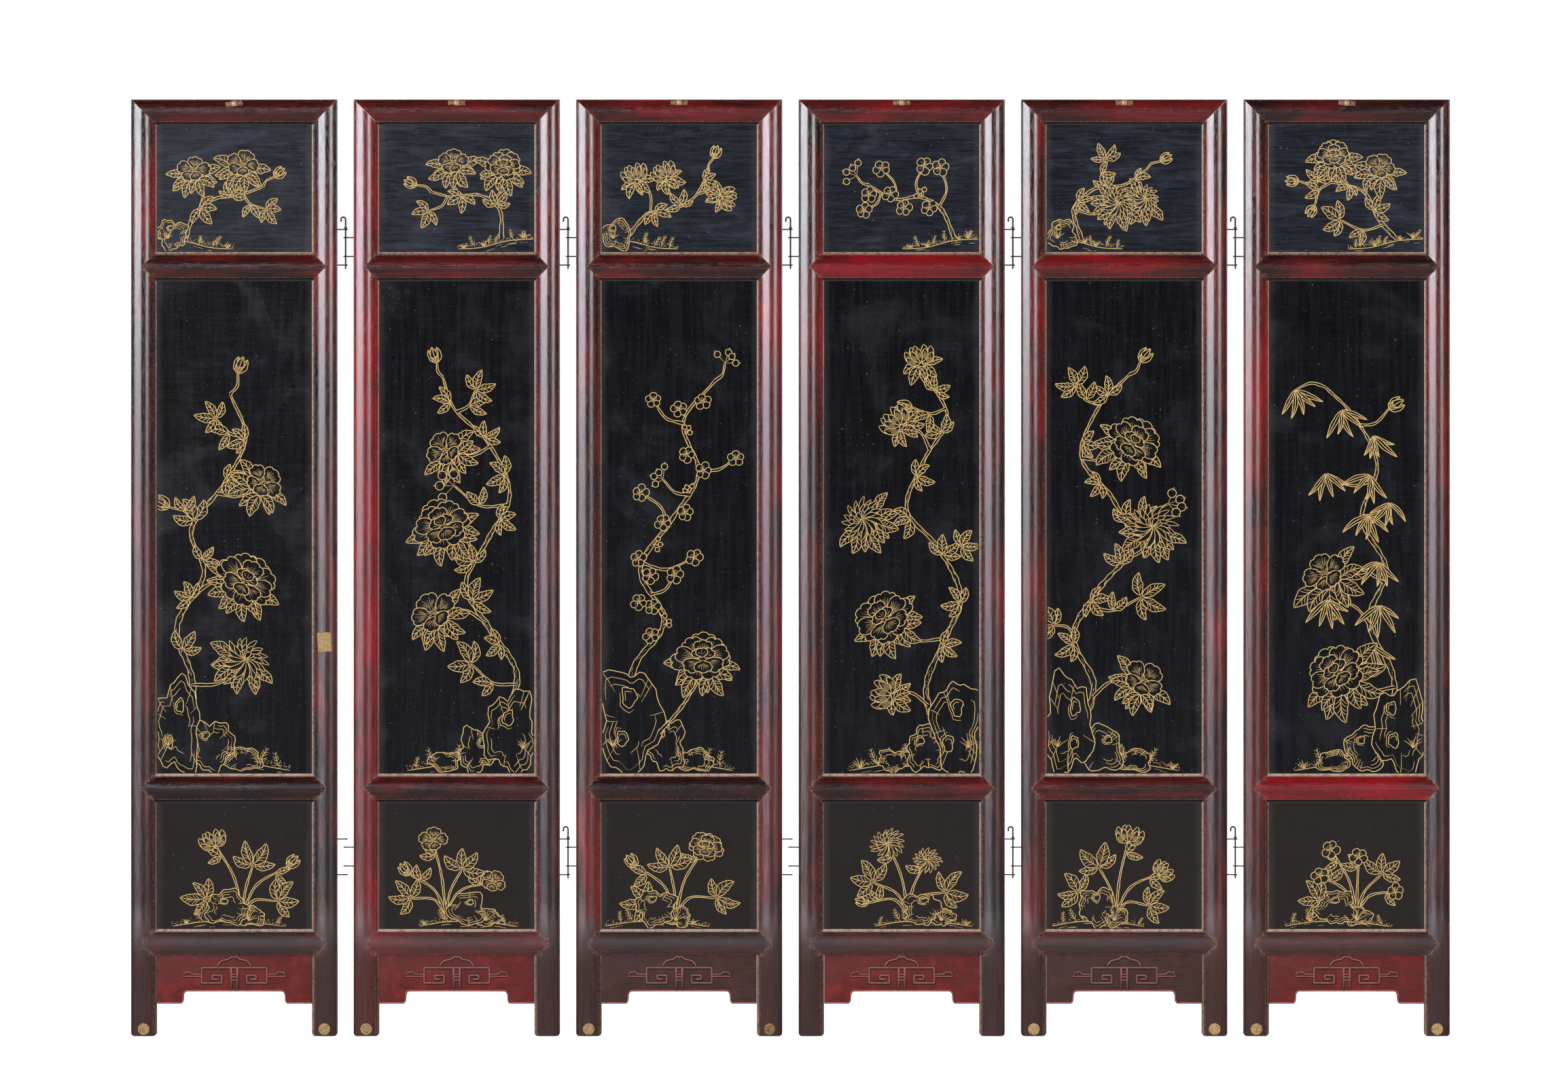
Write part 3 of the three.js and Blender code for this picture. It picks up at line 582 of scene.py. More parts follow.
def drawn_line_tree():
    """Lines in the plane of a leaf become raised ribbons, as wide as each point says."""
    tree = Tree("drawn_line", ("Height", FLOAT, 0.0004), ("Sunk", FLOAT, 0.0001))
    given = {"Curve": tree.given["Geometry"], "Normal": (0, -1, 0)}
    facing = tree.node("GeometryNodeSetCurveNormal", given, mode="FREE")
    given = {"Bottom Width": 2.0, "Top Width": 1.1, "Height": 1.0, "Offset": 0.0}
    section = tree.node("GeometryNodeCurvePrimitiveQuadrilateral", given, mode="TRAPEZOID")
    given = {"Geometry": section[0], "Rotation": (0, 0, -math.pi / 2)}
    turned = tree.node("GeometryNodeTransform", given)

    def level(y):
        front = tree.times(tree.math("LESS_THAN", y, 0.0), tree.given["Height"])
        return tree.math("SUBTRACT", tree.given["Sunk"], front)

    return tree.end(tree.pressed(tree.sweep(facing[0], turned[0], scaled=True), level))


def carved_rib_tree():
    """Lines in the plane of a leaf become half-round ribs with eased corners."""
    inputs = (("Corner", FLOAT, 0.001), ("Height", FLOAT, 1.0), ("Sunk", FLOAT, 0.0004))
    tree = Tree("carved_rib", *inputs)
    given = {"Curve": tree.given["Geometry"], "Radius": tree.given["Corner"]}
    given.update({"Count": 5, "Limit Radius": True})
    eased = tree.node("GeometryNodeFilletCurve", given, mode="POLY")

    def level(y):
        forward = tree.times(tree.math("MINIMUM", y, 0.0), tree.given["Height"])
        sunk = tree.times(tree.math("GREATER_THAN", y, 0.0), tree.given["Sunk"])
        return tree.math("ADD", forward, sunk)

    return tree.end(tree.pressed(tree.sweep(eased[0], tree.circle(1.0, 14), scaled=True), level))


def drawn_wire_tree():
    """A path becomes round wire."""
    tree = Tree("drawn_wire", ("Radius", FLOAT, 0.001), ("Sides", "NodeSocketInt", 14))
    section = tree.circle(tree.given["Radius"], tree.given["Sides"])
    return tree.end(tree.sweep(tree.given["Geometry"], section, scaled=True), smooth=True)


def wire_eye_tree():
    """An eye on every point: a ring round the pin's axis, and its shank towards +X or, turned, -X."""
    radii = (("Ring radius", FLOAT, 0.00335), ("Wire radius", FLOAT, 0.0013))
    tree = Tree("wire_eye", *radii, ("Shank", FLOAT, 0.016))
    wire = tree.circle(tree.given["Wire radius"], 10)
    ring = tree.sweep(tree.circle(tree.given["Ring radius"], 22), wire, caps=False)
    ends = {"Start": tree.xyz(X=tree.given["Ring radius"]), "End": tree.xyz(X=tree.given["Shank"])}
    shank = tree.sweep(tree.node("GeometryNodeCurvePrimitiveLine", ends)[0], wire)
    both = tree.tree.nodes.new("GeometryNodeJoinGeometry")
    for part in (ring, shank):
        tree.put(both.inputs[0], part)
    return tree.end(tree.on_points(both.outputs[0], "Z"), smooth=True)


def screw_tree():
    """A slotted round head on every point, its slot turned by the point's own amount."""
    tree = Tree("round_head_screw", ("Head radius", FLOAT, 0.003), ("Dome", FLOAT, 0.0012))
    radius, height = tree.given["Head radius"], tree.given["Dome"]
    ball = tree.node("GeometryNodeMeshUVSphere", {"Radius": radius, "Segments": 20, "Rings": 12})
    squash = tree.xyz(X=1.0, Y=tree.math("DIVIDE", height, radius), Z=1.0)
    dome = tree.node("GeometryNodeTransform", {"Geometry": ball[0], "Scale": squash})
    size = tree.xyz(X=tree.times(radius, 2.4), Y=0.0014, Z=0.0007)
    bar = tree.node("GeometryNodeMeshCube", {"Size": size})
    lift = tree.xyz(Y=tree.times(height, -1.0))
    slot = tree.node("GeometryNodeTransform", {"Geometry": bar[0], "Translation": lift})
    given = {0: dome[0], 1: slot[0]}
    head = tree.node("GeometryNodeMeshBoolean", given, operation="DIFFERENCE")
    return tree.end(tree.on_points(head[0], "Y"))


# -------------------------------------------------------------------------- mesh helpers


def points_object(points, turns):
    """Loose points, each with the turn of what a tree sets on it."""
    mesh = bpy.data.meshes.new("points")
    mesh.from_pydata([tuple(value * MM for value in point) for point in points], [], [])
    mesh.attributes.new("turn", "FLOAT", "POINT").data.foreach_set("value", turns)
    return add_object("points", mesh)


def lines_object(lines, closed=False, unit=MM):
    """Polylines with a radius at each point, as a curve object. Lines are (points, radii)."""
    data = bpy.data.curves.new("lines", "CURVE")
    data.dimensions = "3D"
    for points, radii in lines:
        spline = data.splines.new("POLY")
        spline.points.add(len(points) - 1)
        four = np.ones((len(points), 4))
        four[:, :3] = np.asarray(points) * MM
        spline.points.foreach_set("co", four.ravel())
        spline.points.foreach_set("radius", np.broadcast_to(radii, len(points)) * unit)
        spline.use_cyclic_u = closed
    return add_object("lines", data)


def show(name, mesh, body, slot, *stands_for):
    """A finished mesh becomes a piece of the screen."""
    made = add_object(name, mesh)
    mesh.name = name
    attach(made, body)
    if stands_for:
        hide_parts(*stands_for)
    return made


def crisp(mesh, degrees=32):
    """Smooth faces that stay sharp at arrises."""
    mesh.shade_smooth()
    mesh.set_sharp_from_angle(angle=math.radians(degrees))


def joined(name, *meshes):
    """Several meshes as one new one."""
    work = bmesh.new()
    for mesh in meshes:
        work.from_mesh(mesh)
    made = bpy.data.meshes.new(name)
    work.to_mesh(made)
    work.free()
    return made


def moved(mesh, x):
    """A copy of a mesh, moved along the row. x in millimetres."""
    copy = mesh.copy()
    copy.transform(Matrix.Translation((x * MM, 0, 0)))
    return copy


def write_marks(mesh, marks):
    """Marks are arrays with one number for each vertex, for a finish to read."""
    for name, values in marks.items():
        if name in mesh.attributes:
            mesh.attributes.remove(mesh.attributes[name])
        mesh.attributes.new(name, "FLOAT", "POINT").data.foreach_set("value", values.astype(np.float32))


def vertices(mesh):
    """Vertex places in millimetres."""
    flat = np.empty(len(mesh.vertices) * 3)
    mesh.vertices.foreach_get("co", flat)
    return flat.reshape(-1, 3) / MM


def prism(work, outline, front, back):
    """A straight block in a bmesh from a face outline in [x, z] and two depths, y."""
    near = [work.verts.new((x * MM, front * MM, z * MM)) for x, z in outline]
    far = [work.verts.new((x * MM, back * MM, z * MM)) for x, z in outline]
    work.faces.new(near)
    work.faces.new(far[::-1])
    for i in range(len(outline)):
        j = (i + 1) % len(outline)
        work.faces.new((near[j], near[i], far[i], far[j]))


def cut(work, point, normal, keep_all=False):
    """Cuts a closed bmesh at a plane and closes it again, or only marks the plane on it."""
    found = bmesh.ops.bisect_plane(
        work,
        geom=work.verts[:] + work.edges[:] + work.faces[:],
        dist=1e-7,
        plane_co=tuple(value * MM for value in point),
        plane_no=normal,
        clear_outer=not keep_all,
    )
    if not keep_all:
        edges = [item for item in found["geom_cut"] if isinstance(item, bmesh.types.BMEdge)]
        bmesh.ops.edgeloop_fill(work, edges=[edge for edge in edges if edge.is_boundary])


def carve(mesh, cutter):
    """mesh without what the closed blocks of cutter take away."""
    body = add_object("body", mesh)
    tool = add_object("tool", cutter)
    step = body.modifiers.new("carve", "BOOLEAN")
    step.operation = "DIFFERENCE"
    step.solver = "EXACT"
    step.object = tool
    result = worked_in(body)
    bpy.data.objects.remove(tool)
    return result


# --------------------------------------------------------------------------- mouldings


def cushion_drop(distance):
    """How far the cushion falls behind its crest."""
    return ARRIS_DROP * (distance / CUSHION) ** 2


def cushion(start, end, count=26):
    """Points across the cushion as [distance from the crest, depth]."""
    return [(s, cushion_drop(s)) for s in np.linspace(start, end, count)]


def reveal_points():
    """From the arris down to the board: a small step, then a quarter round. Widths from the arris."""
    points = [(0.15, 4.7), (0.35, 5.1), (0.6, 6.3), (0.9, 6.75)]
    for turn in np.linspace(0.25, 1.45, 7):
        points.append((0.9 + 4.9 * (1 - math.cos(turn)) ** 0.9, 6.7 + 4.0 * math.sin(turn)))
    points.append((REVEAL, BOARD_DEPTH - FIT))
    return points


def frame_section():
    """Stile or top rail, as [width from the outer edge, depth behind the crest]."""
    back = [(CHAMFER, THICKNESS), (0.4, THICKNESS - 0.3), (0, THICKNESS - CHAMFER), (0, 3.8)]
    turns = np.linspace(0.12, math.pi - 0.25, 9)
    bead = [(1.5 - 1.5 * math.cos(a), 3.6 - 2.0 * math.sin(a)) for a in turns]
    quirk = [(3.1, 3.75), (3.35, 3.75)]
    face = [(CREST_IN + s, d) for s, d in cushion(3.6 - CREST_IN, CUSHION - 0.1)]
    edge = [(FACE_WIDTH + s, d) for s, d in reveal_points()]
    inner = [(STILE, THICKNESS - CHAMFER), (STILE - 0.4, THICKNESS - 0.3), (STILE - CHAMFER, THICKNESS)]
    return back + bead + quirk + face + edge + inner


def rail_section(has_lower_reveal):
    """A let-in rail, as [height from its centre line, depth behind the crest]."""
    face = [(s, d) for s, d in cushion(-CUSHION + 0.1, CUSHION - 0.1, 34)]
    upper = [(CUSHION + s, d) for s, d in reveal_points()]
    lower = [(-CUSHION, BOARD_DEPTH - FIT)]
    if has_lower_reveal:
        lower = [(-s, d) for s, d in reversed(upper)]
    return lower + face + upper


def run_length(section, length):
    """A closed section run straight up from the floor."""
    outline = lines_object([([(a, d, 0) for a, d in section], 1.0)], closed=True, unit=1)
    spacing = RING_SPACING * MM
    return MOULDED_LENGTH.apply(outline, Length=length * MM, Ring_spacing=spacing, Material=None)


def in_bmesh(mesh, place):
    """A swept mesh in a bmesh, each vertex put where place says, facing outwards."""
    work = bmesh.new()
    work.from_mesh(mesh)
    bmesh.ops.remove_doubles(work, verts=work.verts, dist=1e-7)
    for vertex in work.verts:
        a, b, along = (value / MM for value in vertex.co)
        vertex.co = [value * MM for value in place(a, b, along)]
    bmesh.ops.recalc_face_normals(work, faces=work.faces)
    return work


def to_mesh(work, name):
    mesh = bpy.data.meshes.new(name)
    bmesh.ops.recalc_face_normals(work, faces=work.faces)
    work.to_mesh(mesh)
    work.free()
    return mesh


def pointed(centre, lowest, grow=0.0):
    """Face outline of a let-in rail with its 45-degree points."""
    tip = TIP + grow * math.sqrt(2)
    high = RAIL_HALF + grow
    low = min(lowest + grow, high)
    return [
        (-tip, centre),
        (-tip + low, centre - low),
        (tip - low, centre - low),
        (tip, centre),
        (tip - high, centre + high),
        (-tip + high, centre + high),
    ]


WORN_BAND = 1.3  # how far the wear reaches from a joint


def stile_mesh(side):
    """A stile about the middle of its leaf: mitred, with its recesses and its worn foot."""
    section = [(a, CREST_Y + d) for a, d in frame_section()]
    work = in_bmesh(run_length(section, LEAF_HEIGHT), lambda a, b, z: (side * (HALF - a), b, z))
    up_in = Vector((-side, 0, 1)).normalized()
    cut(work, (side * HALF, 0, LEAF_HEIGHT - FIT / 2), up_in)
    cut(work, (side * HALF, 0, LEAF_HEIGHT - FIT / 2 - WORN_BAND), up_in, keep_all=True)
    for centre in (UPPER_RAIL_Z, LOWER_RAIL_Z, BOTTOM_RAIL_Z):
        point = (side * (TIP + WORN_BAND), 0, centre)
        cut(work, point, Vector((side, 0, 1)).normalized(), keep_all=True)
        cut(work, point, Vector((side, 0, -1)).normalized(), keep_all=True)
    body = to_mesh(work, "stile")
    tool = bmesh.new()
    front = CREST_Y - ARRIS_DROP
    for centre, lowest in ((UPPER_RAIL_Z, RAIL_HALF), (LOWER_RAIL_Z, RAIL_HALF),
    (BOTTOM_RAIL_Z, CUSHION)):
        prism(tool, pointed(centre, lowest, FIT), front, CREST_Y + BOARD_DEPTH)
    for inward in (0, STILE):
        turn = 1 if inward == 0 else -1
        arc = [
            (FOOT_ROUND - FOOT_ROUND * math.cos(a), FOOT_ROUND - FOOT_ROUND * math.sin(a))
            for a in np.linspace(0, math.pi / 2, 7)
        ]
        outline = [(-1, -1), (-1, FOOT_ROUND)] + arc + [(FOOT_ROUND, -1)]
        outline = [(side * (HALF - inward - turn * u), z) for u, z in outline]
        prism(tool, outline, front, CREST_Y + THICKNESS + 2)
    bmesh.ops.recalc_face_normals(tool, faces=tool.faces)
    return carve(body, to_mesh(tool, "recesses"))


def top_rail_mesh():
    """The top rail, mitred over the stiles."""
    section = [(a, CREST_Y + d) for a, d in frame_section()]
    work = in_bmesh(run_length(section, LEAF_WIDTH), lambda a, b, t: (t - HALF, b, LEAF_HEIGHT - a))
    for side in (-1, 1):
        out_down = Vector((side, 0, -1)).normalized()
        cut(work, (side * (HALF - FIT / 2), 0, LEAF_HEIGHT), out_down)
        cut(work, (side * (HALF - FIT / 2 - WORN_BAND), 0, LEAF_HEIGHT), out_down, keep_all=True)
    return to_mesh(work, "top_rail")


def let_in_rail_mesh(centre, is_bottom):
    """A rail whose pointed ends lie in the stiles. The bottom one goes through to the back."""
    section = [(a, CREST_Y + d) for a, d in rail_section(not is_bottom)]
    work = in_bmesh(run_length(section, 2 * TIP), lambda a, b, t: (t - TIP, b, centre + a))
    for side in (-1, 1):
        for slope in (-1, 1):
            outward = Vector((side, 0, slope)).normalized()
            cut(work, (side * TIP, 0, centre), outward)
            cut(work, (side * (TIP - WORN_BAND), 0, centre), outward, keep_all=True)
    if is_bottom:
        shoulder = OPENING - FIT
        box = [(-shoulder, centre - CUSHION), (shoulder, centre - CUSHION)]
        box += [(shoulder, centre + RAIL_HALF), (-shoulder, centre + RAIL_HALF)]
        prism(work, box, CREST_Y + BOARD_DEPTH - FIT, CREST_Y + THICKNESS)
    return to_mesh(work, "rail")


def band(distance, width):
    """1 on a line and 0 past the width from it."""
    return np.clip(1 - np.abs(distance) / width, 0, 1)


def frame_marks(co, member):
    """Pale bands at arrises and joints of a frame member, and marks on its reveals: painted light with
    dust where they face up or aside, painted shade where they face down. All from where each vertex lies
    on its leaf.
    """
    x, depth, z = np.abs(co[:, 0]), co[:, 1] - CREST_Y, co[:, 2]
    front = depth < BOARD_DEPTH
    wear_and_light = np.zeros(len(co))
    ledge_dust_light_shade = np.zeros(len(co))
    across = HALF - x if "stile" in member else LEAF_HEIGHT - z
    if member in ("left_stile", "right_stile", "top_rail"):
        wear_and_light = np.maximum(0.9 * band(across - FACE_WIDTH, 0.5), 0.55 * band(across - 1.3, 1.0))
        wear_and_light = np.maximum(wear_and_light, band(HALF - x - (LEAF_HEIGHT - z), WORN_BAND * 1.4))
        # painted light on the stiles' side reveals, by the side they face; painted shade on the top rail's
        # reveal, which faces down
        strength = {"left_stile": 0.16, "right_stile": 0.45, "top_rail": -1.0}[member]
        ledge_dust_light_shade = strength * ((across > FACE_WIDTH + 1.2) & (across < STILE + 1.0))
    if "stile" in member:
        for centre in (UPPER_RAIL_Z, LOWER_RAIL_Z, BOTTOM_RAIL_Z):
            gap = x - (TIP + FIT * math.sqrt(2) - np.abs(z - centre))
            near = np.abs(z - centre) < RAIL_HALF + 2
            wear_and_light = np.maximum(wear_and_light, near * band(gap, WORN_BAND * 1.4))
    centres = {"upper_rail": UPPER_RAIL_Z, "lower_rail": LOWER_RAIL_Z, "bottom_rail": BOTTOM_RAIL_Z}
    if member in centres:
        above = z - centres[member]
        joint = band(TIP - np.abs(above) - x, WORN_BAND * 1.4)
        wear_and_light = np.maximum(0.9 * band(np.abs(above) - CUSHION, 0.5), joint)
        # painted light with dust on a rail's upper reveal, which faces up
        strength = {"upper_rail": 0.55, "lower_rail": 1.0, "bottom_rail": 1.0}[member]
        ledge_dust_light_shade = strength * ((above > CUSHION + 0.8) & (above < RAIL_HALF + 1)).astype(float)
        # painted shade on a rail's lower reveal, which faces down
        ledge_dust_light_shade -= 1.0 * (above < -CUSHION - 0.8)
    return {"wear_and_light": wear_and_light * front, "ledge_dust_light_shade": ledge_dust_light_shade * front}


# How red the lacquer shows: a general level for each member of each leaf, then places where
# more of it has come through, as [leaf, member, centre, reach, amount] along the member.
MEMBER_NAMES = ("left_stile", "right_stile", "top_rail", "upper_rail", "lower_rail", "bottom_rail")
RED_LEVEL = {
    1: (0.30, 0.26, 0.42, 0.40, 0.24, 0.26),
    2: (0.70, 0.30, 0.42, 0.40, 0.30, 0.58),
    3: (0.40, 0.46, 0.56, 0.36, 0.22, 0.22),
    4: (0.36, 0.30, 0.56, 0.74, 0.52, 0.34),
    5: (0.40, 0.34, 0.44, 0.52, 0.30, 0.30),
    6: (0.44, 0.32, 0.26, 0.30, 0.86, 0.40),
}
RED_PLACES = [
    (1, "right_stile", 1480, 160, 0.3),
    (1, "left_stile", 1650, 200, 0.2),
    (2, "left_stile", 1150, 420, 0.2),
    (2, "right_stile", 1500, 200, 0.3),
    (3, "right_stile", 1440, 150, 0.25),
    (3, "left_stile", 1640, 150, 0.2),
    (4, "left_stile", 1360, 160, 0.3),
    (4, "right_stile", 1700, 140, 0.2),
    (5, "left_stile", 1400, 180, 0.25),
    (5, "right_stile", 1500, 150, 0.25),
    (6, "left_stile", 1280, 260, 0.3),
    (6, "right_stile", 1250, 200, 0.15),
]


def red_marks(co, leaf, member):
    """How much red shows at each vertex."""
    along = co[:, 2] if "stile" in member else co[:, 0]
    red = np.full(len(co), RED_LEVEL[leaf][MEMBER_NAMES.index(member)])
    for at_leaf, at_member, centre, reach, amount in RED_PLACES:
        if (at_leaf, at_member) == (leaf, member):
            red += amount * np.exp(-(((along - centre) / reach) ** 2))
    return {"red": red}


def frame_member(leaf, member, pattern, finish):
    """One member of one leaf, in the place of its solid."""
    co = vertices(pattern)
    mesh = moved(pattern, leaf_x(leaf))
    write_marks(mesh, frame_marks(co, member))
    write_marks(mesh, red_marks(co, leaf, member))
    mesh.materials.clear()
    mesh.materials.append(finish)
    crisp(mesh)
    node = f"leaf_{leaf}_{member}"
    return show(f"{node}_moulded", mesh, f"leaf_{leaf}", "frame_lacquer", node)


# ------------------------------------------------------------------- gilt line drawing

OUTLINE = 1.65  # widths of the drawn lines
DETAIL = 1.15
FAINT = 0.95


def smooth(knots, step=1.6):
    """An even curve through the knots."""
    p = np.asarray(knots, float)
    ends = np.vstack([2 * p[0] - p[1], p, 2 * p[-1] - p[-2]])
    parts = []
    for i in range(len(p) - 1):
        a, b, c, d = ends[i : i + 4]
        count = max(2, int(np.linalg.norm(c - b) / step) + 1)
        t = np.linspace(0, 1, count, endpoint=False)[:, None]
        square = (2 * a - 5 * b + 4 * c - d) * t**2
        cube = (3 * b - a - 3 * c + d) * t**3
        parts.append(0.5 * (2 * b + (c - a) * t + square + cube))
    return np.vstack(parts + [p[-1:]])


def normals(path):
    """Unit normals on the left of a path."""
    along = np.gradient(path, axis=0)
    along /= np.maximum(np.linalg.norm(along, axis=1), 1e-9)[:, None]
    return np.stack([-along[:, 1], along[:, 0]], axis=1)


def placed(points, base, degrees, flat=1.0):
    """Points drawn along +X from nothing, turned to an angle and set on a base."""
    a = math.radians(degrees)
    turn = np.array([[math.cos(a), -math.sin(a)], [math.sin(a), math.cos(a)]])
    return np.asarray(base) + (np.asarray(points) * (1.0, flat)) @ turn.T


def heading(degrees, length=1.0):
    a = math.radians(degrees)
    return np.array([math.cos(a), math.sin(a)]) * length


def inside(points, outline):
    """Which points lie within a closed outline."""
    x, y = points[:, :1], points[:, 1:]
    ax, ay = outline[:, 0], outline[:, 1]
    bx, by = np.roll(ax, -1), np.roll(ay, -1)
    crosses = (ay > y) != (by > y)
    rise = np.where(by == ay, 1e-9, by - ay)
    return (crosses & (x < (bx - ax) * (y - ay) / rise + ax)).sum(axis=1) % 2 == 1


def simple(points, slack=0.07):
    """The fewest of the points that keep the line within the slack."""
    keep = [0, len(points) - 1]
    todo = [(0, len(points) - 1)]
    while todo:
        first, last = todo.pop()
        if last - first < 2:
            continue
        a, b = points[first], points[last]
        chord = b - a
        length = float(np.hypot(*chord))
        rel = points[first + 1 : last] - a
        if length < 1e-6:
            off = np.linalg.norm(rel, axis=1)
        else:
            off = np.abs(chord[0] * rel[:, 1] - chord[1] * rel[:, 0]) / length
        worst = int(np.argmax(off))
        if off[worst] > slack:
            middle = first + 1 + worst
            keep.append(middle)
            todo += [(first, middle), (middle, last)]
    return points[sorted(keep)]


class Drawing:
    """Lines on one field. What is drawn first lies in front, and hides what comes after it."""

    def __init__(self, height, seed):
        self.height = height
        self.lines = []
        self.fronts = []
        self.dice = random.Random(seed)

    def line(self, points, width, thin_start=0.5, thin_end=0.45):
        """One stroke of the brush, left out where something in front covers it."""
        points = np.asarray(points, float)
        gaps = np.linalg.norm(np.diff(points, axis=0), axis=1)
        length = float(gaps.sum())
        if length < 0.4:
            return
        at = np.concatenate([[0], np.cumsum(gaps)])
        even = np.linspace(0, length, max(3, int(length / 1.1) + 1))
        points = np.stack([np.interp(even, at, points[:, 0]), np.interp(even, at, points[:, 1])], axis=1)
        free = (np.abs(points[:, 0]) < OPENING - 2) & (points[:, 1] > 2) & (points[:, 1] < self.height - 2)
        low, high = points.min(axis=0), points.max(axis=0)
        for outline, least, most in self.fronts:
            if (least < high).all() and (most > low).all():
                free &= ~inside(points, outline)
        edges = np.flatnonzero(np.diff(np.concatenate([[0], free.astype(int), [0]])))
        for first, last in edges.reshape(-1, 2):
            if last - first < 3 and len(points) > 5:
                continue
            if last - first < 2:
                continue
            run = simple(points[first:last])
            radii = np.full(len(run), width / 2)
            if first == 0:
                radii[0] *= thin_start
            if last == len(points):
                radii[-1] *= thin_end
            self.lines.append((run, radii))

    def cover(self, outline):
        """From now on this outline hides what is drawn."""
        outline = np.asarray(outline)
        self.fronts.append((outline, outline.min(axis=0), outline.max(axis=0)))

    def dot(self, place, size=1.0):
        angle = self.dice.uniform(0, 360)
        self.line([place, np.asarray(place) + heading(angle, size)], DETAIL * 1.2, 0.8, 0.8)

    def ring(self, centre, radius, width=DETAIL):
        turn = np.linspace(0, 2 * math.pi, max(9, int(radius * 4)))
        circle = np.asarray(centre) + radius * np.stack([np.cos(turn), np.sin(turn)], axis=1)
        self.line(circle, width, 1, 1)
        return circle

    # ---- leaves

    def leaf(self, base, angle, length, width, bend=0.1, veins=3, stalk=0.0):
        """A pointed leaf with its midrib and side veins."""
        t = np.linspace(0, 1, 26)
        middle = np.stack([length * t, bend * length * np.sin(math.pi * t * 0.9)], axis=1)
        swell = np.sin(math.pi * t**0.8) ** 0.85
        side = normals(middle) * (0.5 * width * swell)[:, None]
        wave = 0.07 * np.sin(t * 15 + self.dice.uniform(0, 6.3)) * swell

        def put(points):
            return placed(points + (stalk, 0), base, angle)

        left, right = middle + side * (1 + wave)[:, None], middle - side * (1 - wave)[:, None]
        if stalk:
            self.line(placed([(0, 0), (stalk, 0)], base, angle), OUTLINE)
        self.line(put(left), OUTLINE)
        self.line(put(right), OUTLINE)
        self.line(put(middle[:-1]), OUTLINE)
        for i in range(veins):
            start = int(4 + i * 14 / max(veins, 1))
            end = min(start + 5, 23)
            for edge in (left, right):
                tip = middle[end] + 0.86 * (edge[end] - middle[end])
                waist = (middle[start] + tip) / 2 + (0.04 * length, 0)
                self.line(put(smooth([middle[start], waist, tip], 2)), DETAIL)
        self.cover(put(np.vstack([left, right[::-1]])))

    def spray(self, base, angle, size, count=3, slender=0.46, fan=50):
        """Leaves that spread from one point, the middle one in front."""
        order = sorted(range(count), key=lambda i: abs(i - (count - 1) / 2))
        for i in order:
            off = i - (count - 1) / 2
            turn = angle + off * fan + self.dice.uniform(-9, 9)
            length = size * (1 - 0.1 * abs(off)) * self.dice.uniform(0.88, 1.1)
            width = length * slender * self.dice.uniform(0.88, 1.12)
            bend = self.dice.uniform(0.04, 0.17) * (1 if off > 0 else -1)
            veins = 4 if length > 44 else 3 if length > 32 else 2 if length > 21 else 1
            self.leaf(base, turn, length, width, bend, veins, length * 0.1)

    def blades(self, base, angle, size, count=5, fan=26):
        """Narrow leaves hanging together, as on bamboo or willow."""
        for i in range(count):
            turn = angle + (i - (count - 1) / 2) * fan + self.dice.uniform(-6, 6)
            length = size * self.dice.uniform(0.75, 1.1)
            self.leaf(base, turn, length, length * 0.17, self.dice.uniform(-0.1, 0.1), 0)

    # ---- flowers

    def petal(self, centre, angle, reach, spread, lobes, rays, tilt, flat, start=0.12):
        """A fan-shaped petal with a scalloped rim and fine rays."""
        reach *= self.dice.uniform(0.92, 1.08)
        a = np.linspace(-1, 1, 12 * lobes + 1)
        scallops = np.abs(np.sin(lobes * math.pi * (a + 1) / 2)) ** 0.55
        rim = reach * (1 - 0.2 * np.abs(a) ** 2.6) * (0.91 + 0.09 * scallops)
        theta = math.radians(angle) + a * math.radians(spread)
        edge = np.stack([rim * np.cos(theta), rim * np.sin(theta)], axis=1)
        root = heading(angle, reach * start)

        def put(points):
            return placed(points, centre, tilt, flat)

        def side(end):
            belly = end * 0.62 + (end - heading(angle, np.hypot(*end))) * 0.12
            return smooth([root, (root + belly) * 0.52, belly, end], 1.5)

        left, right = side(edge[0]), side(edge[-1])
        self.line(put(edge), OUTLINE, 1, 1)
        self.line(put(left), OUTLINE)
        self.line(put(right), OUTLINE)
        for k in range(rays):
            b = ((k + 0.5) / rays * 2 - 1) * 0.84 + self.dice.uniform(-0.04, 0.04)
            turn = angle + b * spread
            near = 0.3 + 0.2 * abs(b) + self.dice.uniform(-0.05, 0.08)
            far = self.dice.uniform(0.68, 0.84) * (1 - 0.12 * abs(b) ** 2)
            bow = heading(angle + b * spread * 0.86, reach * (near + far) / 2)
            ends = [heading(angle + b * spread * 0.7, reach * near), bow, heading(turn, reach * far)]
            self.line(put(smooth(ends, 2)), FAINT, 0.6, 0.3)
        self.cover(put(np.vstack([left, edge, right[::-1]])))

    def heart(self, centre, size, tilt, flat):
        """The middle of a flower: stamens that stand up out of it."""
        for i in range(7):
            turn = 90 + (i - 3) * 23 + self.dice.uniform(-5, 5)
            tip = placed([heading(turn, size * self.dice.uniform(0.8, 1.1))], centre, tilt, flat)[0]
            self.line([np.asarray(centre, float), tip], FAINT)
            self.dot(tip, 1.4)

    def flower(self, centre, size, tilt, flat, petals, heart=0.0):
        """A bloom seen aslant. Petals are [angle, reach, spread, lobes, rays], the front ones first."""
        if heart:
            self.heart(centre, size * heart, tilt, flat)
        for angle, reach, spread, lobes, rays in petals:
            turn = angle + self.dice.uniform(-6, 6)
            self.petal(centre, turn, size * reach, spread, lobes, rays, tilt, flat)

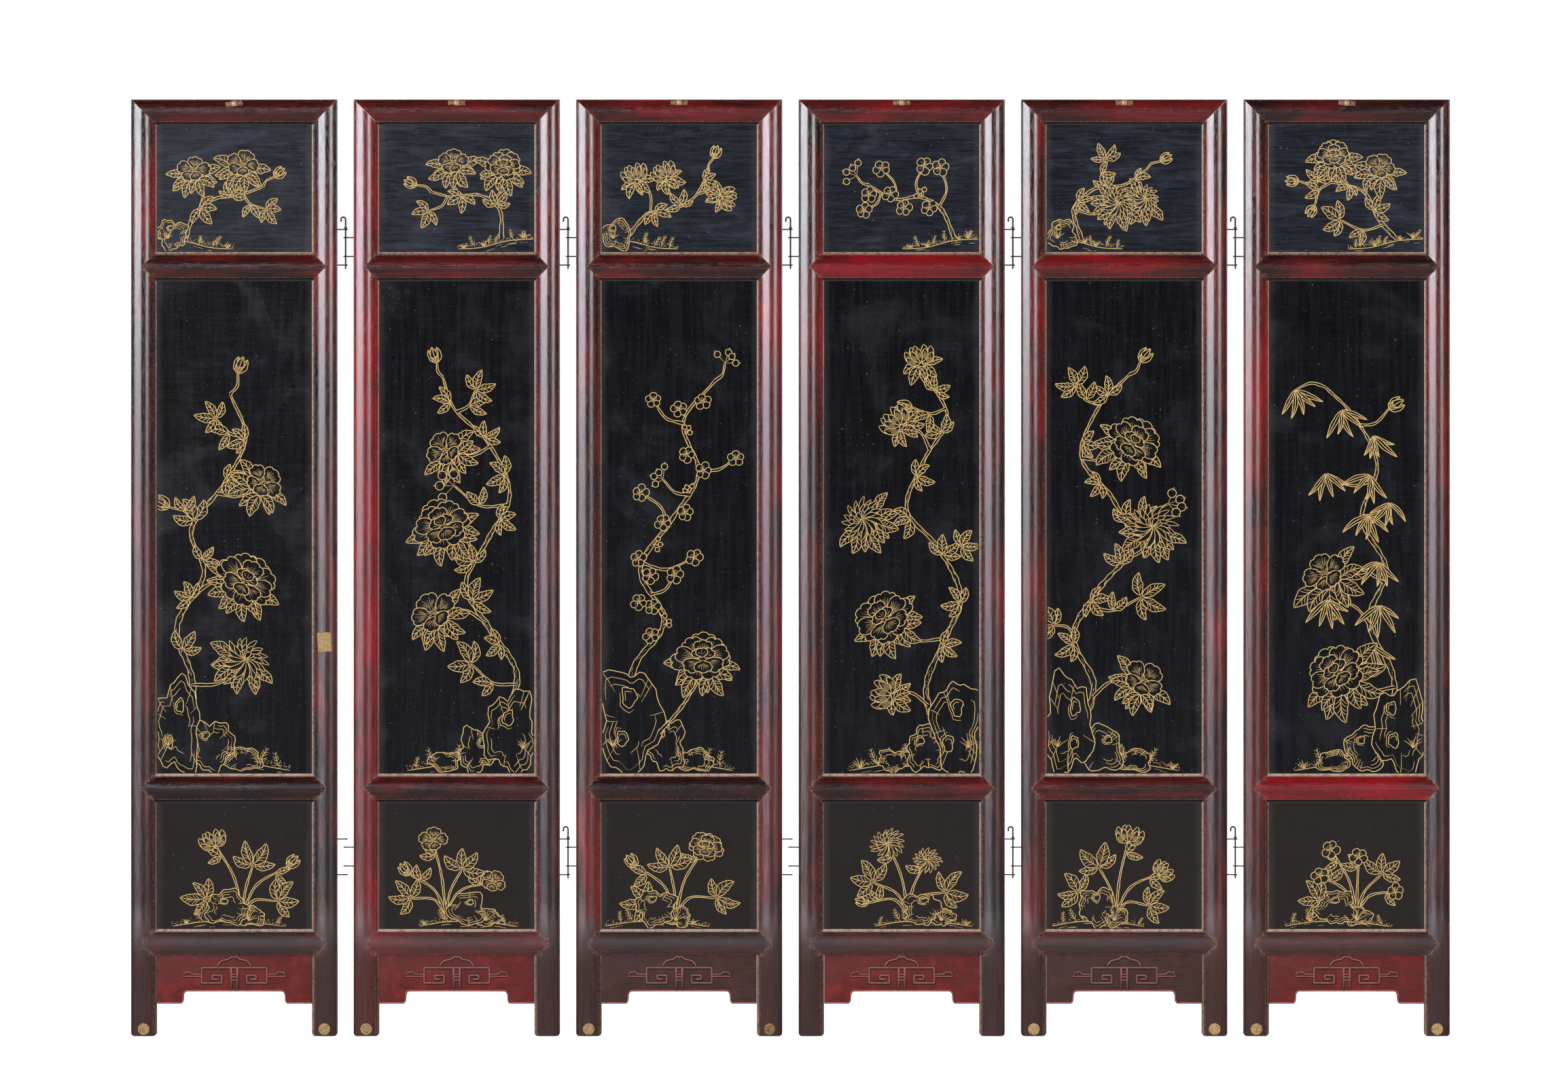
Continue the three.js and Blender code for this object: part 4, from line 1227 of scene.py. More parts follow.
    def peony(self, centre, size, tilt=0, flat=0.86):
        """A full bloom: a closed middle, drooping petals before it and wide ones behind."""
        middle = [(96, 0.4, 40, 2, 3), (48, 0.46, 34, 2, 3), (136, 0.46, 34, 2, 3)]
        front = [(-88, 0.52, 46, 3, 7), (-32, 0.7, 32, 3, 6), (-146, 0.7, 32, 3, 6)]
        sides = [(18, 0.92, 26, 2, 6), (160, 0.92, 26, 2, 6), (88, 0.78, 34, 3, 8)]
        behind = [(52, 0.98, 30, 3, 7), (124, 0.98, 30, 3, 7), (-4, 1.0, 24, 2, 5),
                  (184, 1.0, 24, 2, 5)]
        back = [(88, 1.02, 32, 3, 6), (-62, 0.86, 30, 2, 5), (-118, 0.86, 30, 2, 5)]
        self.flower(centre, size, tilt, flat, middle + front + sides + behind + back)

    def mallow(self, centre, size, tilt=0, flat=0.88):
        """Five broad petals round a tuft of stamens."""
        front = [(-70, 0.7, 42, 3, 7), (-138, 0.78, 36, 3, 6)]
        back = [(6, 1.0, 33, 3, 7), (150, 0.98, 33, 3, 7), (78, 1.0, 38, 3, 8)]
        self.flower(centre, size, tilt, flat, front + back, 0.42)

    def plum(self, centre, size, tilt=0, flat=0.92):
        """Five small round petals."""
        petals = [(90 + 72 * i, 1.0, 35, 1, 0) for i in range(5)]
        self.flower(centre, size, tilt, flat, petals, 0.5)

    def aster(self, centre, size, tilt=0, flat=0.84):
        """Many narrow petals that curl in over the middle and spread out behind it."""
        rows = ((0.42, 6, 30, 150), (0.72, 11, -40, 220), (1.0, 17, -100, 280))
        for row, (reach, count, low, high) in enumerate(rows):
            places = sorted(range(count), key=lambda i: abs(i - (count - 1) / 2), reverse=row > 0)
            for i in places:
                turn = low + (high - low) * (i + 0.5) / count + self.dice.uniform(-4, 4)
                length = size * reach * self.dice.uniform(0.9, 1.08)
                t = np.linspace(0, 1, 14)
                middle = np.stack([length * t, 0.12 * length * np.sin(math.pi * t)], axis=1)
                wide = normals(middle) * (size * 0.095 * np.sin(math.pi * t**1.4) ** 0.75)[:, None]
                shape = [placed(part, (0, 0), turn) for part in (middle + wide, middle - wide)]
                shape = [placed(part, centre, tilt, flat) for part in shape]
                for part in shape:
                    self.line(part, DETAIL * 1.1)
                self.cover(np.vstack([shape[0], shape[1][::-1]]))

    def cup(self, base, angle, size, spread=30, count=5, wide=0.5):
        """A flower seen from the side: upright petals, the middle one in front."""
        for row, reach in ((0, 0.8), (1, 1.0)):
            places = [i - (count - 1) / 2 for i in range(count)]
            places.sort(key=abs)
            for off in places:
                if row and off == 0:
                    off = 0.4
                turn = angle + off * spread * (1.0 if row == 0 else 0.72)
                length = size * reach * (1 + 0.05 * abs(off))
                t = np.linspace(0, 1, 18)
                middle = np.stack([length * t, 0.1 * off * length * np.sin(math.pi * t)], axis=1)
                swell = np.sin(math.pi * t**0.95) ** 0.75 * (0.75 + 0.5 * t)
                side = normals(middle) * (0.5 * wide * length * 0.8 * swell)[:, None]
                left, right = placed(middle + side, base, turn), placed(middle - side, base, turn)
                self.line(left, OUTLINE)
                self.line(right, OUTLINE)
                for share in (-0.55, -0.2, 0.2, 0.55):
                    ray = placed(middle + side * share, base, turn)
                    self.line(ray[5 : self.dice.randint(12, 15)], FAINT)
                self.cover(np.vstack([left, right[::-1]]))

    def bud(self, base, angle, size):
        """A bud that begins to open, in its small cup."""
        for turn in (-26, 26):
            self.leaf(base, angle + turn, size * 0.46, size * 0.2, 0.1, 0)
        self.leaf(base, angle, size, size * 0.44, 0.04, 0)
        for turn in (-15, 15):
            self.leaf(base, angle + turn, size * 0.94, size * 0.4, 0.1 if turn > 0 else -0.1, 0)

    def berries(self, base, angle, size, count=4):
        """Round fruit on thin stalks, each with a small crown."""
        for i in range(count):
            turn = angle + (i - (count - 1) / 2) * 42 + self.dice.uniform(-9, 9)
            centre = np.asarray(base) + heading(turn, size * self.dice.uniform(1.7, 2.9))
            rim = centre + heading(turn, size * 0.7)
            for spread in (-28, 0, 28):
                self.line([rim, rim + heading(turn + spread, size * 0.34)], DETAIL)
            self.line([centre + heading(turn, size * 0.3), centre + heading(turn + 20, size * 0.5)], FAINT)
            self.cover(self.ring(centre, size * 0.7, OUTLINE))
            self.line([np.asarray(base, float), centre], DETAIL)

    # ---- wood

    def branch(self, knots, wide_start, wide_end, ticks=True):
        """Two lines that taper, with knots and bark marks between them."""
        path = smooth(knots, 2.0)
        t = np.linspace(0, 1, len(path))
        seed = self.dice.uniform(0, 50)
        at = t * len(path)
        knobs = 1 + 0.2 * np.sin(at * 0.19 + seed) ** 3 + 0.13 * np.sin(at * 0.53 + 2 * seed)
        half = 0.5 * (wide_start + (wide_end - wide_start) * t**0.8) * knobs
        side = normals(path) * half[:, None]
        left, right = path + side, path - side
        self.line(left, OUTLINE, 1)
        self.line(right, OUTLINE, 1)
        if ticks and len(path) > 12:
            for i in range(4, len(path) - 6, 3):
                if half[i] < 1.7 or self.dice.random() < 0.3:
                    continue
                share = self.dice.choice((-0.62, 0.0, 0.62))
                mark = path[i : i + self.dice.randint(3, 5)]
                fade = np.linspace(1, 0.4, len(mark))[:, None]
                self.line(mark + side[i : i + len(mark)] * share * fade, DETAIL)
        self.cover(np.vstack([left, right[::-1]]))
        return path

    # ---- ground

    def rock(self, centre, wide, high, holes=1):
        """A weathered stone: a broken outline, lines that follow it, and hollows."""
        turn = np.linspace(0, 2 * math.pi, 40, endpoint=False)
        p = [self.dice.uniform(0, 6.3) for _ in range(4)]
        reach = 1 + 0.12 * np.sin(3 * turn + p[0]) + 0.1 * np.sin(5 * turn + p[1])
        reach += 0.07 * np.abs(np.sin(5.5 * turn + p[2])) + 0.05 * np.sin(11 * turn + p[3])
        square = 1 / np.maximum(np.abs(np.cos(turn)) ** 3 + np.abs(np.sin(turn)) ** 3, 0.1) ** 0.22
        across = wide / 2 * reach * square * np.cos(turn)
        up = high / 2 * reach * square * np.sin(turn)
        shape = np.stack([across, up], axis=1)
        closed = np.vstack([shape, shape[:1]])
        for k in range(holes):
            aside = self.dice.uniform(-0.2, 0.2) * wide
            above = (0.24 - 0.42 * k + self.dice.uniform(-0.05, 0.05)) * high
            spot = np.array([aside, above])
            size = self.dice.uniform(0.17, 0.24)
            hole = spot + np.roll(shape, 7 * k, axis=0)[::3] * (size, size * 0.8)
            self.line(centre + smooth(np.vstack([hole, hole[:1]]), 1.5), OUTLINE, 1, 1)
            self.line(centre + spot + (hole[2:9] - spot) * 0.62, DETAIL)
            self.cover(centre + hole)
            self.line(centre + spot + (hole[6:12] - spot) * 1.45, DETAIL)
        for share, least, most in ((0.86, 8, 13), (0.72, 6, 10), (0.56, 4, 8)):
            for first in (self.dice.randint(0, 9), self.dice.randint(12, 22), self.dice.randint(26, 34)):
                part = np.roll(shape, -first, axis=0)[: self.dice.randint(least, most)]
                self.line(centre + part * share, DETAIL)
        for _ in range(9):
            i = self.dice.randint(0, 39)
            inward = shape[i] * np.array([[0.99], [0.84], [self.dice.uniform(0.5, 0.66)]])
            inward[1:] += self.dice.uniform(-2.5, 2.5)
            self.line(centre + inward, DETAIL)
        self.line(centre + closed, OUTLINE * 1.1, 1, 1)
        self.cover(centre + shape)

    def grass(self, base, size, count=7, lean=0):
        """Single strokes that fan out of one root."""
        for i in range(count):
            turn = 90 + lean + (i - (count - 1) / 2) * (120 / count) + self.dice.uniform(-6, 6)
            length = size * self.dice.uniform(0.6, 1.1)
            tip = heading(turn, length)
            droop = np.array([tip[0] * 0.5, tip[1] * 0.62])
            self.line(np.asarray(base) + smooth([(0, 0), droop, tip]), DETAIL, 1, 0.3)

    def herb(self, base, angle, size):
        """A small stem with paired leaflets."""
        stem = placed(smooth([(0, 0), (size * 0.5, size * 0.06), (size, 0)], 2), base, angle)
        self.line(stem, DETAIL)
        for share in (0.25, 0.45, 0.65, 0.85):
            spot = stem[int(share * (len(stem) - 1))]
            for turn in (52, -52):
                reach = size * (0.36 - 0.18 * share)
                curl = spot + heading(angle + turn, reach * 0.5) + heading(angle, reach * 0.12)
                curl_end = spot + heading(angle + turn * 0.8, reach)
                self.line(smooth([spot, curl, curl_end], 2), DETAIL, 1, 0.4)

    def moss(self, knots, thick=6.0, every=3.2):
        """Dots that thin out above a line."""
        for place in smooth(knots, every):
            for _ in range(3):
                up = abs(self.dice.gauss(0, thick * 0.6))
                self.dot(place + (self.dice.uniform(-2.2, 2.2), up + 1.5), 1.5)

    def ground(self, knots, tufts=3, scale=1.0):
        """A sloping bank with grass and moss on it."""
        path = smooth(knots, 3)
        for k in range(tufts):
            i = int((k + 0.5 + self.dice.uniform(-0.3, 0.3)) / tufts * (len(path) - 1))
            if self.dice.random() < 0.5:
                self.grass(path[i], self.dice.uniform(14, 24) * scale)
            else:
                self.herb(path[i], 90 + self.dice.uniform(-35, 35), self.dice.uniform(24, 36) * scale)
        self.moss([path[0], path[len(path) // 2], path[-1]], 8 * scale, 4.4)
        self.line(path, OUTLINE)
        for _ in range(7):
            i = self.dice.randint(2, len(path) - 10)
            self.line(path[i : i + self.dice.randint(4, 8)] - (0, self.dice.uniform(3, 11)), DETAIL)

    # ---- whole plants

    def end_of(self, what, place, angle, size):
        """The flower, leaves or fruit at the end of a twig."""
        lean = (angle - 90) * 0.5
        if what in ("peony", "mallow", "aster"):
            getattr(self, what)(place, size, lean)
        elif what == "plum":
            self.plum(place, size, self.dice.uniform(0, 72))
        elif what == "cup":
            self.cup(place - heading(angle, size * 0.2), angle, size)
        elif what == "blades":
            self.blades(place, -90 + lean * 0.4, size)
        elif what == "leaves":
            self.spray(place, angle, size, 4)
        else:
            getattr(self, what)(place, angle, size)

    def wreath(self, place, angle, size, leaf, ends=(205, 155, 250, 110)):
        """Leaves that look out from behind a flower, most of them below it."""
        for turn in ends:
            spot = place + heading(angle + turn, size * 0.55)
            count = 2 if abs(turn - 180) > 60 else 3
            self.spray(spot, angle + turn + self.dice.uniform(-12, 12), leaf, count, 0.48, 44)

    def plant(self, trunk, wide, twigs, leaf=32, kind="leaves", gap=62, start=0.22):
        """A trunk with twigs, each [share of the trunk, angle, length, what it ends in, size]."""
        path = smooth(trunk, 2.0)
        length = len(path) - 1
        made = []
        for share, angle, reach, what, size in twigs:
            root = path[int(share * length)]
            tip = root + heading(angle, reach)
            bow = heading(angle + 90, reach * self.dice.choice((-0.17, 0.17)))
            knee = root + heading(angle, reach * 0.45) + bow
            made.append((root, knee, tip, angle, what, size))
        for root, knee, tip, angle, what, size in made:
            self.end_of(what, tip, angle, size)
        for root, knee, tip, angle, what, size in made:
            if what in ("peony", "mallow", "aster"):
                self.wreath(tip, 90 + (angle - 90) * 0.5, size, leaf)
            elif what == "cup":
                self.wreath(tip, angle, size * 0.7, leaf * 0.8, (150, 210))
            elif np.linalg.norm(tip - root) > 50 and kind == "leaves":
                self.spray(knee, angle + self.dice.choice((-55, 55)), leaf * 0.8, 2)
        at = start
        side = self.dice.choice((-1, 1))
        while at < 0.97:
            i = int(at * length)
            ahead = path[min(i + 4, length)] - path[i]
            along = math.degrees(math.atan2(ahead[1], ahead[0]))
            if kind == "leaves":
                size = leaf * self.dice.uniform(0.85, 1.1) * (1 - 0.22 * at)
                turn = along + side * self.dice.uniform(50, 80)
                self.spray(path[i], turn, size, self.dice.choice((3, 4, 4)))
            elif kind == "blades":
                spot = path[i] + heading(along + side * 60, 14)
                self.blades(spot, -90 + side * self.dice.uniform(-24, 24), leaf, 5)
                self.line([path[i], spot], OUTLINE)
            elif kind == "plum":
                spot = path[i] + heading(along + side * 60, self.dice.uniform(8, 20))
                if self.dice.random() < 0.62:
                    self.plum(spot, leaf * 0.42, self.dice.uniform(0, 72))
                else:
                    self.berries(path[i], along + side * 50, leaf * 0.16, 3)
                self.line([path[i], spot], OUTLINE)
            side = -side
            at += gap / (2.0 * length) * self.dice.uniform(0.85, 1.15)
        for root, knee, tip, angle, what, size in made:
            self.branch([root, knee, tip], max(wide * 0.5, 3.4), 2.4, ticks=False)
        self.branch(trunk, wide, max(2.8, wide * 0.32))


def mirrored(points, side):
    return [(side * x, z) for x, z in points]


def corner_ground(drawing, side, level, reach, rocks, tufts, scale=1.0):
    """Rocks, grass and a bank that slopes down from the corner the plant grows in."""
    edge = -OPENING * side
    drawing.grass((edge + side * 22, level + 6), 24 * scale)
    drawing.herb((edge + side * reach * 0.78, level * 0.35 + 3), 90 - side * 24, 34 * scale)
    drawing.herb((edge + side * reach * 0.6, level * 0.5 + 3), 90 + side * 12, 28 * scale)
    for x, z, wide, high, holes in rocks:
        drawing.rock(np.array([side * x, z]), wide, high, holes)
    bank = [(edge, level + 6), (edge + side * reach * 0.35, level + 2)]
    bank += [(edge + side * reach * 0.7, level * 0.45), (edge + side * reach, 6)]
    drawing.ground(bank, tufts, scale)


# Each main field: the side it grows from (1 is the left), what its trunk passes through, how
# thick it is, its twigs, its leaves and its rocks. All are drawn for a plant on the left.
MAIN_DESIGNS = {
    1: dict(
        side=1, seed=11, wide=12, leaf=45, kind="leaves", gap=96,
        trunk=[(-78, 90), (-84, 190), (-112, 290), (-60, 392), (-84, 480), (-20, 570), (22, 660),
               (-8, 746)],
        twigs=[(0.12, 26, 116, "aster", 50), (0.36, 20, 118, "peony", 62), (0.60, 148, 58, "bud", 34),
               (0.70, 14, 92, "mallow", 42), (0.88, 150, 66, "leaves", 42), (1.0, 70, 44, "bud", 34)],
        rocks=((-112, 92, 84, 168, 2), (-44, 56, 78, 92, 1), (18, 28, 66, 42, 0)), level=48, reach=262,
    ),
    2: dict(
        side=-1, seed=23, wide=11, leaf=44, kind="leaves", gap=92,
        trunk=[(-92, 100), (-118, 196), (-66, 282), (-18, 372), (-62, 462), (-104, 550),
               (-62, 650), (4, 716), (28, 780)],
        twigs=[(0.10, 24, 96, "leaves", 48), (0.28, 10, 104, "mallow", 46), (0.46, 48, 92, "peony", 60),
               (0.62, 20, 112, "berries", 12), (0.78, -6, 88, "mallow", 40),
               (0.9, 130, 56, "leaves", 40), (1.0, 70, 30, "bud", 32)],
        rocks=((-106, 80, 92, 148, 1), (-40, 46, 66, 80, 1), (24, 24, 56, 36, 0)), level=42, reach=250,
    ),
    3: dict(
        side=1, seed=35, wide=12, leaf=40, kind="plum", gap=42,
        trunk=[(-112, 110), (-86, 214), (-30, 300), (-76, 402), (-14, 500), (38, 590), (8, 690),
               (70, 772)],
        twigs=[(0.30, 152, 54, "plum", 17), (0.36, 40, 60, "plum", 18), (0.45, 6, 104, "plum", 18),
               (0.56, 128, 84, "plum", 17),
               (0.66, 150, 60, "berries", 9), (0.74, 14, 76, "plum", 17),
               (0.86, 142, 74, "plum", 16), (1.0, 60, 40, "berries", 9)],
        rocks=((-96, 104, 112, 190, 2), (-26, 56, 70, 92, 1), (34, 26, 62, 40, 0)), level=46, reach=258,
        shrub=([(-40, 80), (4, 130), (46, 196)], 46.0, 226.0, "peony", 60),
    ),
    4: dict(
        side=-1, seed=47, wide=11, leaf=44, kind="leaves", gap=94,
        trunk=[(-64, 90), (-48, 172), (-84, 262), (-116, 350), (-70, 446), (-10, 520), (-44, 616),
               (-90, 700), (-44, 786)],
        twigs=[(0.06, 16, 84, "cup", 40), (0.24, 18, 124, "peony", 62), (0.47, 154, 40, "leaves", 40),
               (0.60, -4, 92, "aster", 46), (0.78, 40, 84, "cup", 38), (0.9, 2, 66, "bud", 34),
               (1.0, 76, 30, "cup", 34)],
        rocks=((-108, 92, 88, 170, 2), (-48, 48, 70, 80, 1), (14, 26, 60, 38, 0)), level=44, reach=256,
    ),
    5: dict(
        side=1, seed=59, wide=11.5, leaf=44, kind="leaves", gap=98,
        trunk=[(-84, 90), (-60, 176), (-100, 270), (-50, 362), (14, 446), (-22, 540), (-84, 622),
               (-50, 720), (10, 784)],
        twigs=[(0.08, 18, 104, "mallow", 44), (0.25, 156, 40, "leaves", 40),
               (0.33, 8, 104, "leaves", 50),
               (0.47, 50, 84, "aster", 50), (0.60, 8, 96, "berries", 12),
               (0.76, 16, 104, "peony", 56), (0.9, 142, 60, "leaves", 42), (1.0, 50, 34, "bud", 32)],
        rocks=((-110, 96, 86, 176, 2), (-44, 48, 74, 84, 1), (20, 26, 64, 40, 0)), level=46, reach=260,
    ),
    6: dict(
        side=-1, seed=71, wide=11, leaf=58, kind="blades", gap=88,
        trunk=[(-96, 100), (-90, 196), (-44, 300), (-78, 402), (-30, 500), (-60, 606), (-16, 700),
               (42, 760)],
        twigs=[(0.10, 14, 116, "peony", 62), (0.28, 30, 96, "blades", 56), (0.40, 8, 116, "mallow", 46),
               (0.60, 156, 60, "blades", 50), (0.70, 8, 96, "blades", 54),
               (0.86, 150, 66, "bud", 34), (1.0, -6, 60, "blades", 56)],
        rocks=((-106, 88, 96, 160, 2), (-38, 50, 70, 84, 1), (26, 24, 58, 38, 0)), level=44, reach=254,
    ),
}


def turned(twigs, side):
    """Twigs of a plant on the left, as they grow on this side."""
    return [(share, angle if side > 0 else 180 - angle, *rest) for share, angle, *rest in twigs]


def main_field(leaf):
    """The tall drawing of a leaf."""
    plan = MAIN_DESIGNS[leaf]
    drawing = Drawing(MAIN_FIELD[1] - MAIN_FIELD[0], plan["seed"])
    side = plan["side"]
    if "shrub" in plan:
        stem, x, z, what, size = plan["shrub"]
        drawing.end_of(what, np.array([side * x, z]), 90, size)
        drawing.wreath(np.array([side * x, z]), 90, size, 44)
        drawing.branch(mirrored(stem, side), 6, 4)
    twigs = turned(plan["twigs"], side)
    corner_ground(drawing, side, plan["level"], plan["reach"], plan["rocks"], 7)
    trunk = mirrored(plan["trunk"], side)
    drawing.plant(trunk, plan["wide"], twigs, plan["leaf"], plan["kind"], plan["gap"])
    return drawing


# Top fields: a branch that leans out of a corner, from [side, seed, trunk, twigs, leaf, kind].
TOP_DESIGNS = {
    1: (1, 101, [(-96, 26), (-78, 74), (-40, 104), (10, 112), (56, 128)],
        [(0.34, 100, 76, "mallow", 33), (0.66, 68, 66, "mallow", 34), (1.0, 40, 30, "bud", 27),
         (0.8, -34, 52, "leaves", 34)], 37, "leaves"),
    2: (-1, 113, [(-88, 26), (-84, 84), (-44, 112), (6, 108), (50, 118)],
        [(0.40, 108, 72, "peony", 37), (0.70, 74, 68, "mallow", 31), (1.0, 24, 32, "bud", 27),
         (0.84, -38, 46, "leaves", 34)], 36, "leaves"),
    3: (1, 127, [(-102, 30), (-62, 74), (-14, 84), (30, 108), (58, 158)],
        [(0.3, 112, 78, "cup", 31), (0.62, 122, 70, "cup", 30), (1.0, 70, 28, "bud", 27),
         (0.78, -8, 56, "cup", 28)], 36, "leaves"),
    4: (-1, 139, [(-104, 26), (-78, 84), (-36, 108), (16, 104), (64, 132)],
        [(0.32, 92, 78, "plum", 18), (0.52, 100, 62, "plum", 18), (0.74, 66, 66, "plum", 17),
         (1.0, 36, 30, "berries", 9), (0.88, -46, 48, "plum", 16)], 40, "plum"),
    5: (1, 151, [(-84, 26), (-98, 86), (-54, 126), (0, 132), (44, 162)],
        [(0.26, 8, 88, "aster", 35), (0.66, -20, 72, "aster", 31), (0.62, 92, 52, "leaves", 34),
         (1.0, 30, 32, "bud", 26)], 36, "leaves"),
    6: (-1, 163, [(-98, 26), (-62, 66), (-36, 116), (12, 134), (62, 140)],
        [(0.18, 6, 84, "leaves", 40), (0.5, 118, 58, "mallow", 31), (0.8, 84, 54, "peony", 35),
         (1.0, 0, 32, "bud", 27), (0.86, -56, 56, "bud", 26)], 36, "leaves"),
}


def top_field(leaf):
    """The small drawing above."""
    side, seed, trunk, twigs, size, kind = TOP_DESIGNS[leaf]
    drawing = Drawing(TOP_FIELD[1] - TOP_FIELD[0], seed)
    corner_ground(drawing, side, 20, 150, ((-122, 34, 52, 54, 1),) if leaf % 2 else (), 5, 0.72)
    gap = 66 if kind == "leaves" else 30
    drawing.plant(mirrored(trunk, side), 7.5, turned(twigs, side), size, kind, gap, 0.34)
    return drawing


# Low fields: a small plant behind a stone, from [seed, root, shoots, stone].
LOW_DESIGNS = {
    1: (201, (16, 30), [(112, 150, "cup", 32), (78, 96, "leaves", 46), (46, 128, "bud", 30),
                        (158, 76, "leaves", 46), (20, 72, "leaves", 44)], (-14, 42, 76, 62)),
    2: (213, (-22, 30), [(100, 146, "mallow", 32), (70, 92, "leaves", 46), (132, 104, "bud", 30),
                         (34, 112, "mallow", 27), (156, 74, "leaves", 44)], (20, 40, 66, 60)),
    3: (227, (-6, 30), [(66, 142, "peony", 36), (98, 92, "leaves", 46), (130, 122, "bud", 30),
                        (22, 84, "leaves", 46), (160, 66, "leaves", 44)], (-46, 42, 70, 64)),
    4: (239, (12, 30), [(106, 144, "aster", 35), (138, 92, "leaves", 44), (70, 112, "aster", 29),
                        (30, 84, "leaves", 46), (164, 80, "bud", 28)], (40, 40, 66, 56)),
    5: (251, (-16, 30), [(80, 150, "cup", 33), (110, 96, "leaves", 46), (42, 120, "cup", 28),
                         (150, 84, "leaves", 44), (14, 66, "leaves", 42)], (-54, 44, 62, 68)),
    6: (263, (20, 30), [(112, 136, "plum", 19), (88, 112, "plum", 18), (134, 104, "plum", 18),
                        (58, 92, "leaves", 44), (160, 78, "leaves", 44),
                        (30, 88, "plum", 17)], (-20, 42, 72, 60)),
}


def low_field(leaf):
    """The small drawing below."""
    seed, root, shoots, (x, z, wide, high) = LOW_DESIGNS[leaf]
    drawing = Drawing(LOW_FIELD[1] - LOW_FIELD[0], seed)
    drawing.grass((x + wide * 0.55, 16), 26, 7, -14)
    drawing.herb((x - wide * 0.62, 14), 118, 30)
    drawing.rock(np.array([float(x), float(z)]), wide, high, 1)
    drawing.rock(np.array([x + wide * 0.62, z - high * 0.28]), wide * 0.66, high * 0.55, 0)
    ends = []
    for angle, reach, what, size in shoots:
        tip = np.asarray(root, float) + heading(angle, reach)
        knee = np.asarray(root, float) + heading(angle * 0.6 + 36, reach * 0.5)
        ends.append((knee, tip, angle, what, size))
    for knee, tip, angle, what, size in ends:
        drawing.end_of(what, tip, angle, size)
    for knee, tip, angle, what, size in ends:
        if what != "leaves":
            drawing.spray(knee * 0.4 + tip * 0.6, angle + drawing.dice.choice((-62, 62)), 32, 2)
    for knee, tip, angle, what, size in ends:
        drawing.branch([root, knee, tip], 4.2, 2.6, ticks=False)
    bank = [(x - wide * 1.4, 6), (x - wide * 0.5, 15), (x + wide * 0.6, 13), (x + wide * 1.5, 5)]
    drawing.ground(bank, 5, 0.75)
    return drawing


def gilt_drawing(leaf):
    """All the gold lines of a leaf as one piece."""
    lines = []
    for field, design in ((TOP_FIELD, top_field), (MAIN_FIELD, main_field), (LOW_FIELD, low_field)):
        for points, radii in design(leaf).lines:
            place = np.zeros((len(points), 3))
            place[:, 0] = points[:, 0]
            place[:, 2] = points[:, 1] + field[0]
            lines.append((place, radii))
    drawn = lines_object(lines)
    mesh = DRAWN_LINE.apply(drawn, Height=0.00045, Sunk=0.0001, Material=GILT)
    mesh.transform(Matrix.Translation((leaf_x(leaf) * MM, BOARD_FACE_Y * MM, 0)))
    return show(f"leaf_{leaf}_gilt_drawing", mesh, f"leaf_{leaf}", "gilt")


# ---------------------------------------------------------------------- apron and fret

APRON_DEPTH = 7.0
APRON_THICKNESS = 12.0
APRON_FLANK_Z = 63.5
APRON_RISE = 24.0
APRON_FLANK_WIDTH = 46.0
APRON_OGEE_WIDTH = 14.0
RELIEF = 2.0
SHADE_LINE_WIDTH = 1.4  # width of the painted shade line beside a carved rib
APRON_FACE_Y = CREST_Y + APRON_DEPTH
APRON_BEAD = 3.5
RED_APRONS = (1, 2, 4, 6)


def quadratic(a, b, c, count=10):
    t = np.linspace(0, 1, count)[:, None]
    return (1 - t) ** 2 * np.array(a) + 2 * t * (1 - t) * np.array(b) + t**2 * np.array(c)


def apron_edge():
    """Lower edge of the apron from left to right, in [x, z]."""
    half = OPENING - FIT
    flank = half - APRON_FLANK_WIDTH
    crown = flank - APRON_OGEE_WIDTH
    middle = (flank + crown) / 2
    low, high = APRON_FLANK_Z, APRON_FLANK_Z + APRON_RISE
    waist = (low + high) / 2
    left = [(-half, low), (-flank - 20, low)]
    lower = quadratic((-flank, low), (-middle, low), (-middle, waist))
    upper = quadratic((-middle, waist), (-middle, high), (-crown, high))[1:]
    half_edge = np.vstack([left, lower, upper, [(-crown / 2, high)]])
    other = half_edge[::-1] * (-1, 1)
    return np.vstack([half_edge, other])


def apron_board():
    """The flat board of the apron, with eased edges."""
    top = RAIL_UNDERSIDE - FIT
    half = OPENING - FIT
    outline = np.vstack([apron_edge(), [(half, top), (-half, top)]])
    work = bmesh.new()
    prism(work, outline, APRON_FACE_Y, APRON_FACE_Y + APRON_THICKNESS)
    bmesh.ops.recalc_face_normals(work, faces=work.faces)
    rim = [edge for edge in work.edges if abs(edge.verts[0].co.y - edge.verts[1].co.y) < 1e-9]
    bmesh.ops.bevel(work, geom=rim, offset=0.7 * MM, segments=2, affect="EDGES", profile=0.6)
    return to_mesh(work, "apron")


def fret_lines():
    """The carved key fret and cloud as [points, half width], in [x, drop below the rail]."""
    wide, thin = 2.1, 1.6
    coil = [(0, 25), (64, 25), (64, 55), (24.5, 55), (24.5, 40), (43, 40), (43, 47.5), (33, 47.5)]
    cloud = [(34, 25), (31, 17.5), (25.5, 12), (18.5, 9.6), (12.4, 8.8), (8.4, 6.4), (5.6, 3.6),
             (2.4, 3.4), (0, 5.4)]
    stem = [(6, 25), (6, 69.5)]
    arm = [(64, 42), (101, 42)]
    peaks = [(64, 37.8), (81, 37.8), (84.5, 35.4), (88, 32), (90.4, 33.8), (91.6, 35.2), (94, 33),
             (97.4, 34.8), (101, 42)]
    lines = []
    for points, half in ((coil, wide), (cloud, wide), (stem, wide), (arm, thin), (peaks, thin)):
        for side in (-1, 1):
            lines.append(([(side * x, RAIL_UNDERSIDE - drop) for x, drop in points], half))
    for drop in (38, 43, 49.5):
        lines.append(([(-6, RAIL_UNDERSIDE - drop), (6, RAIL_UNDERSIDE - drop)], thin))
    return lines


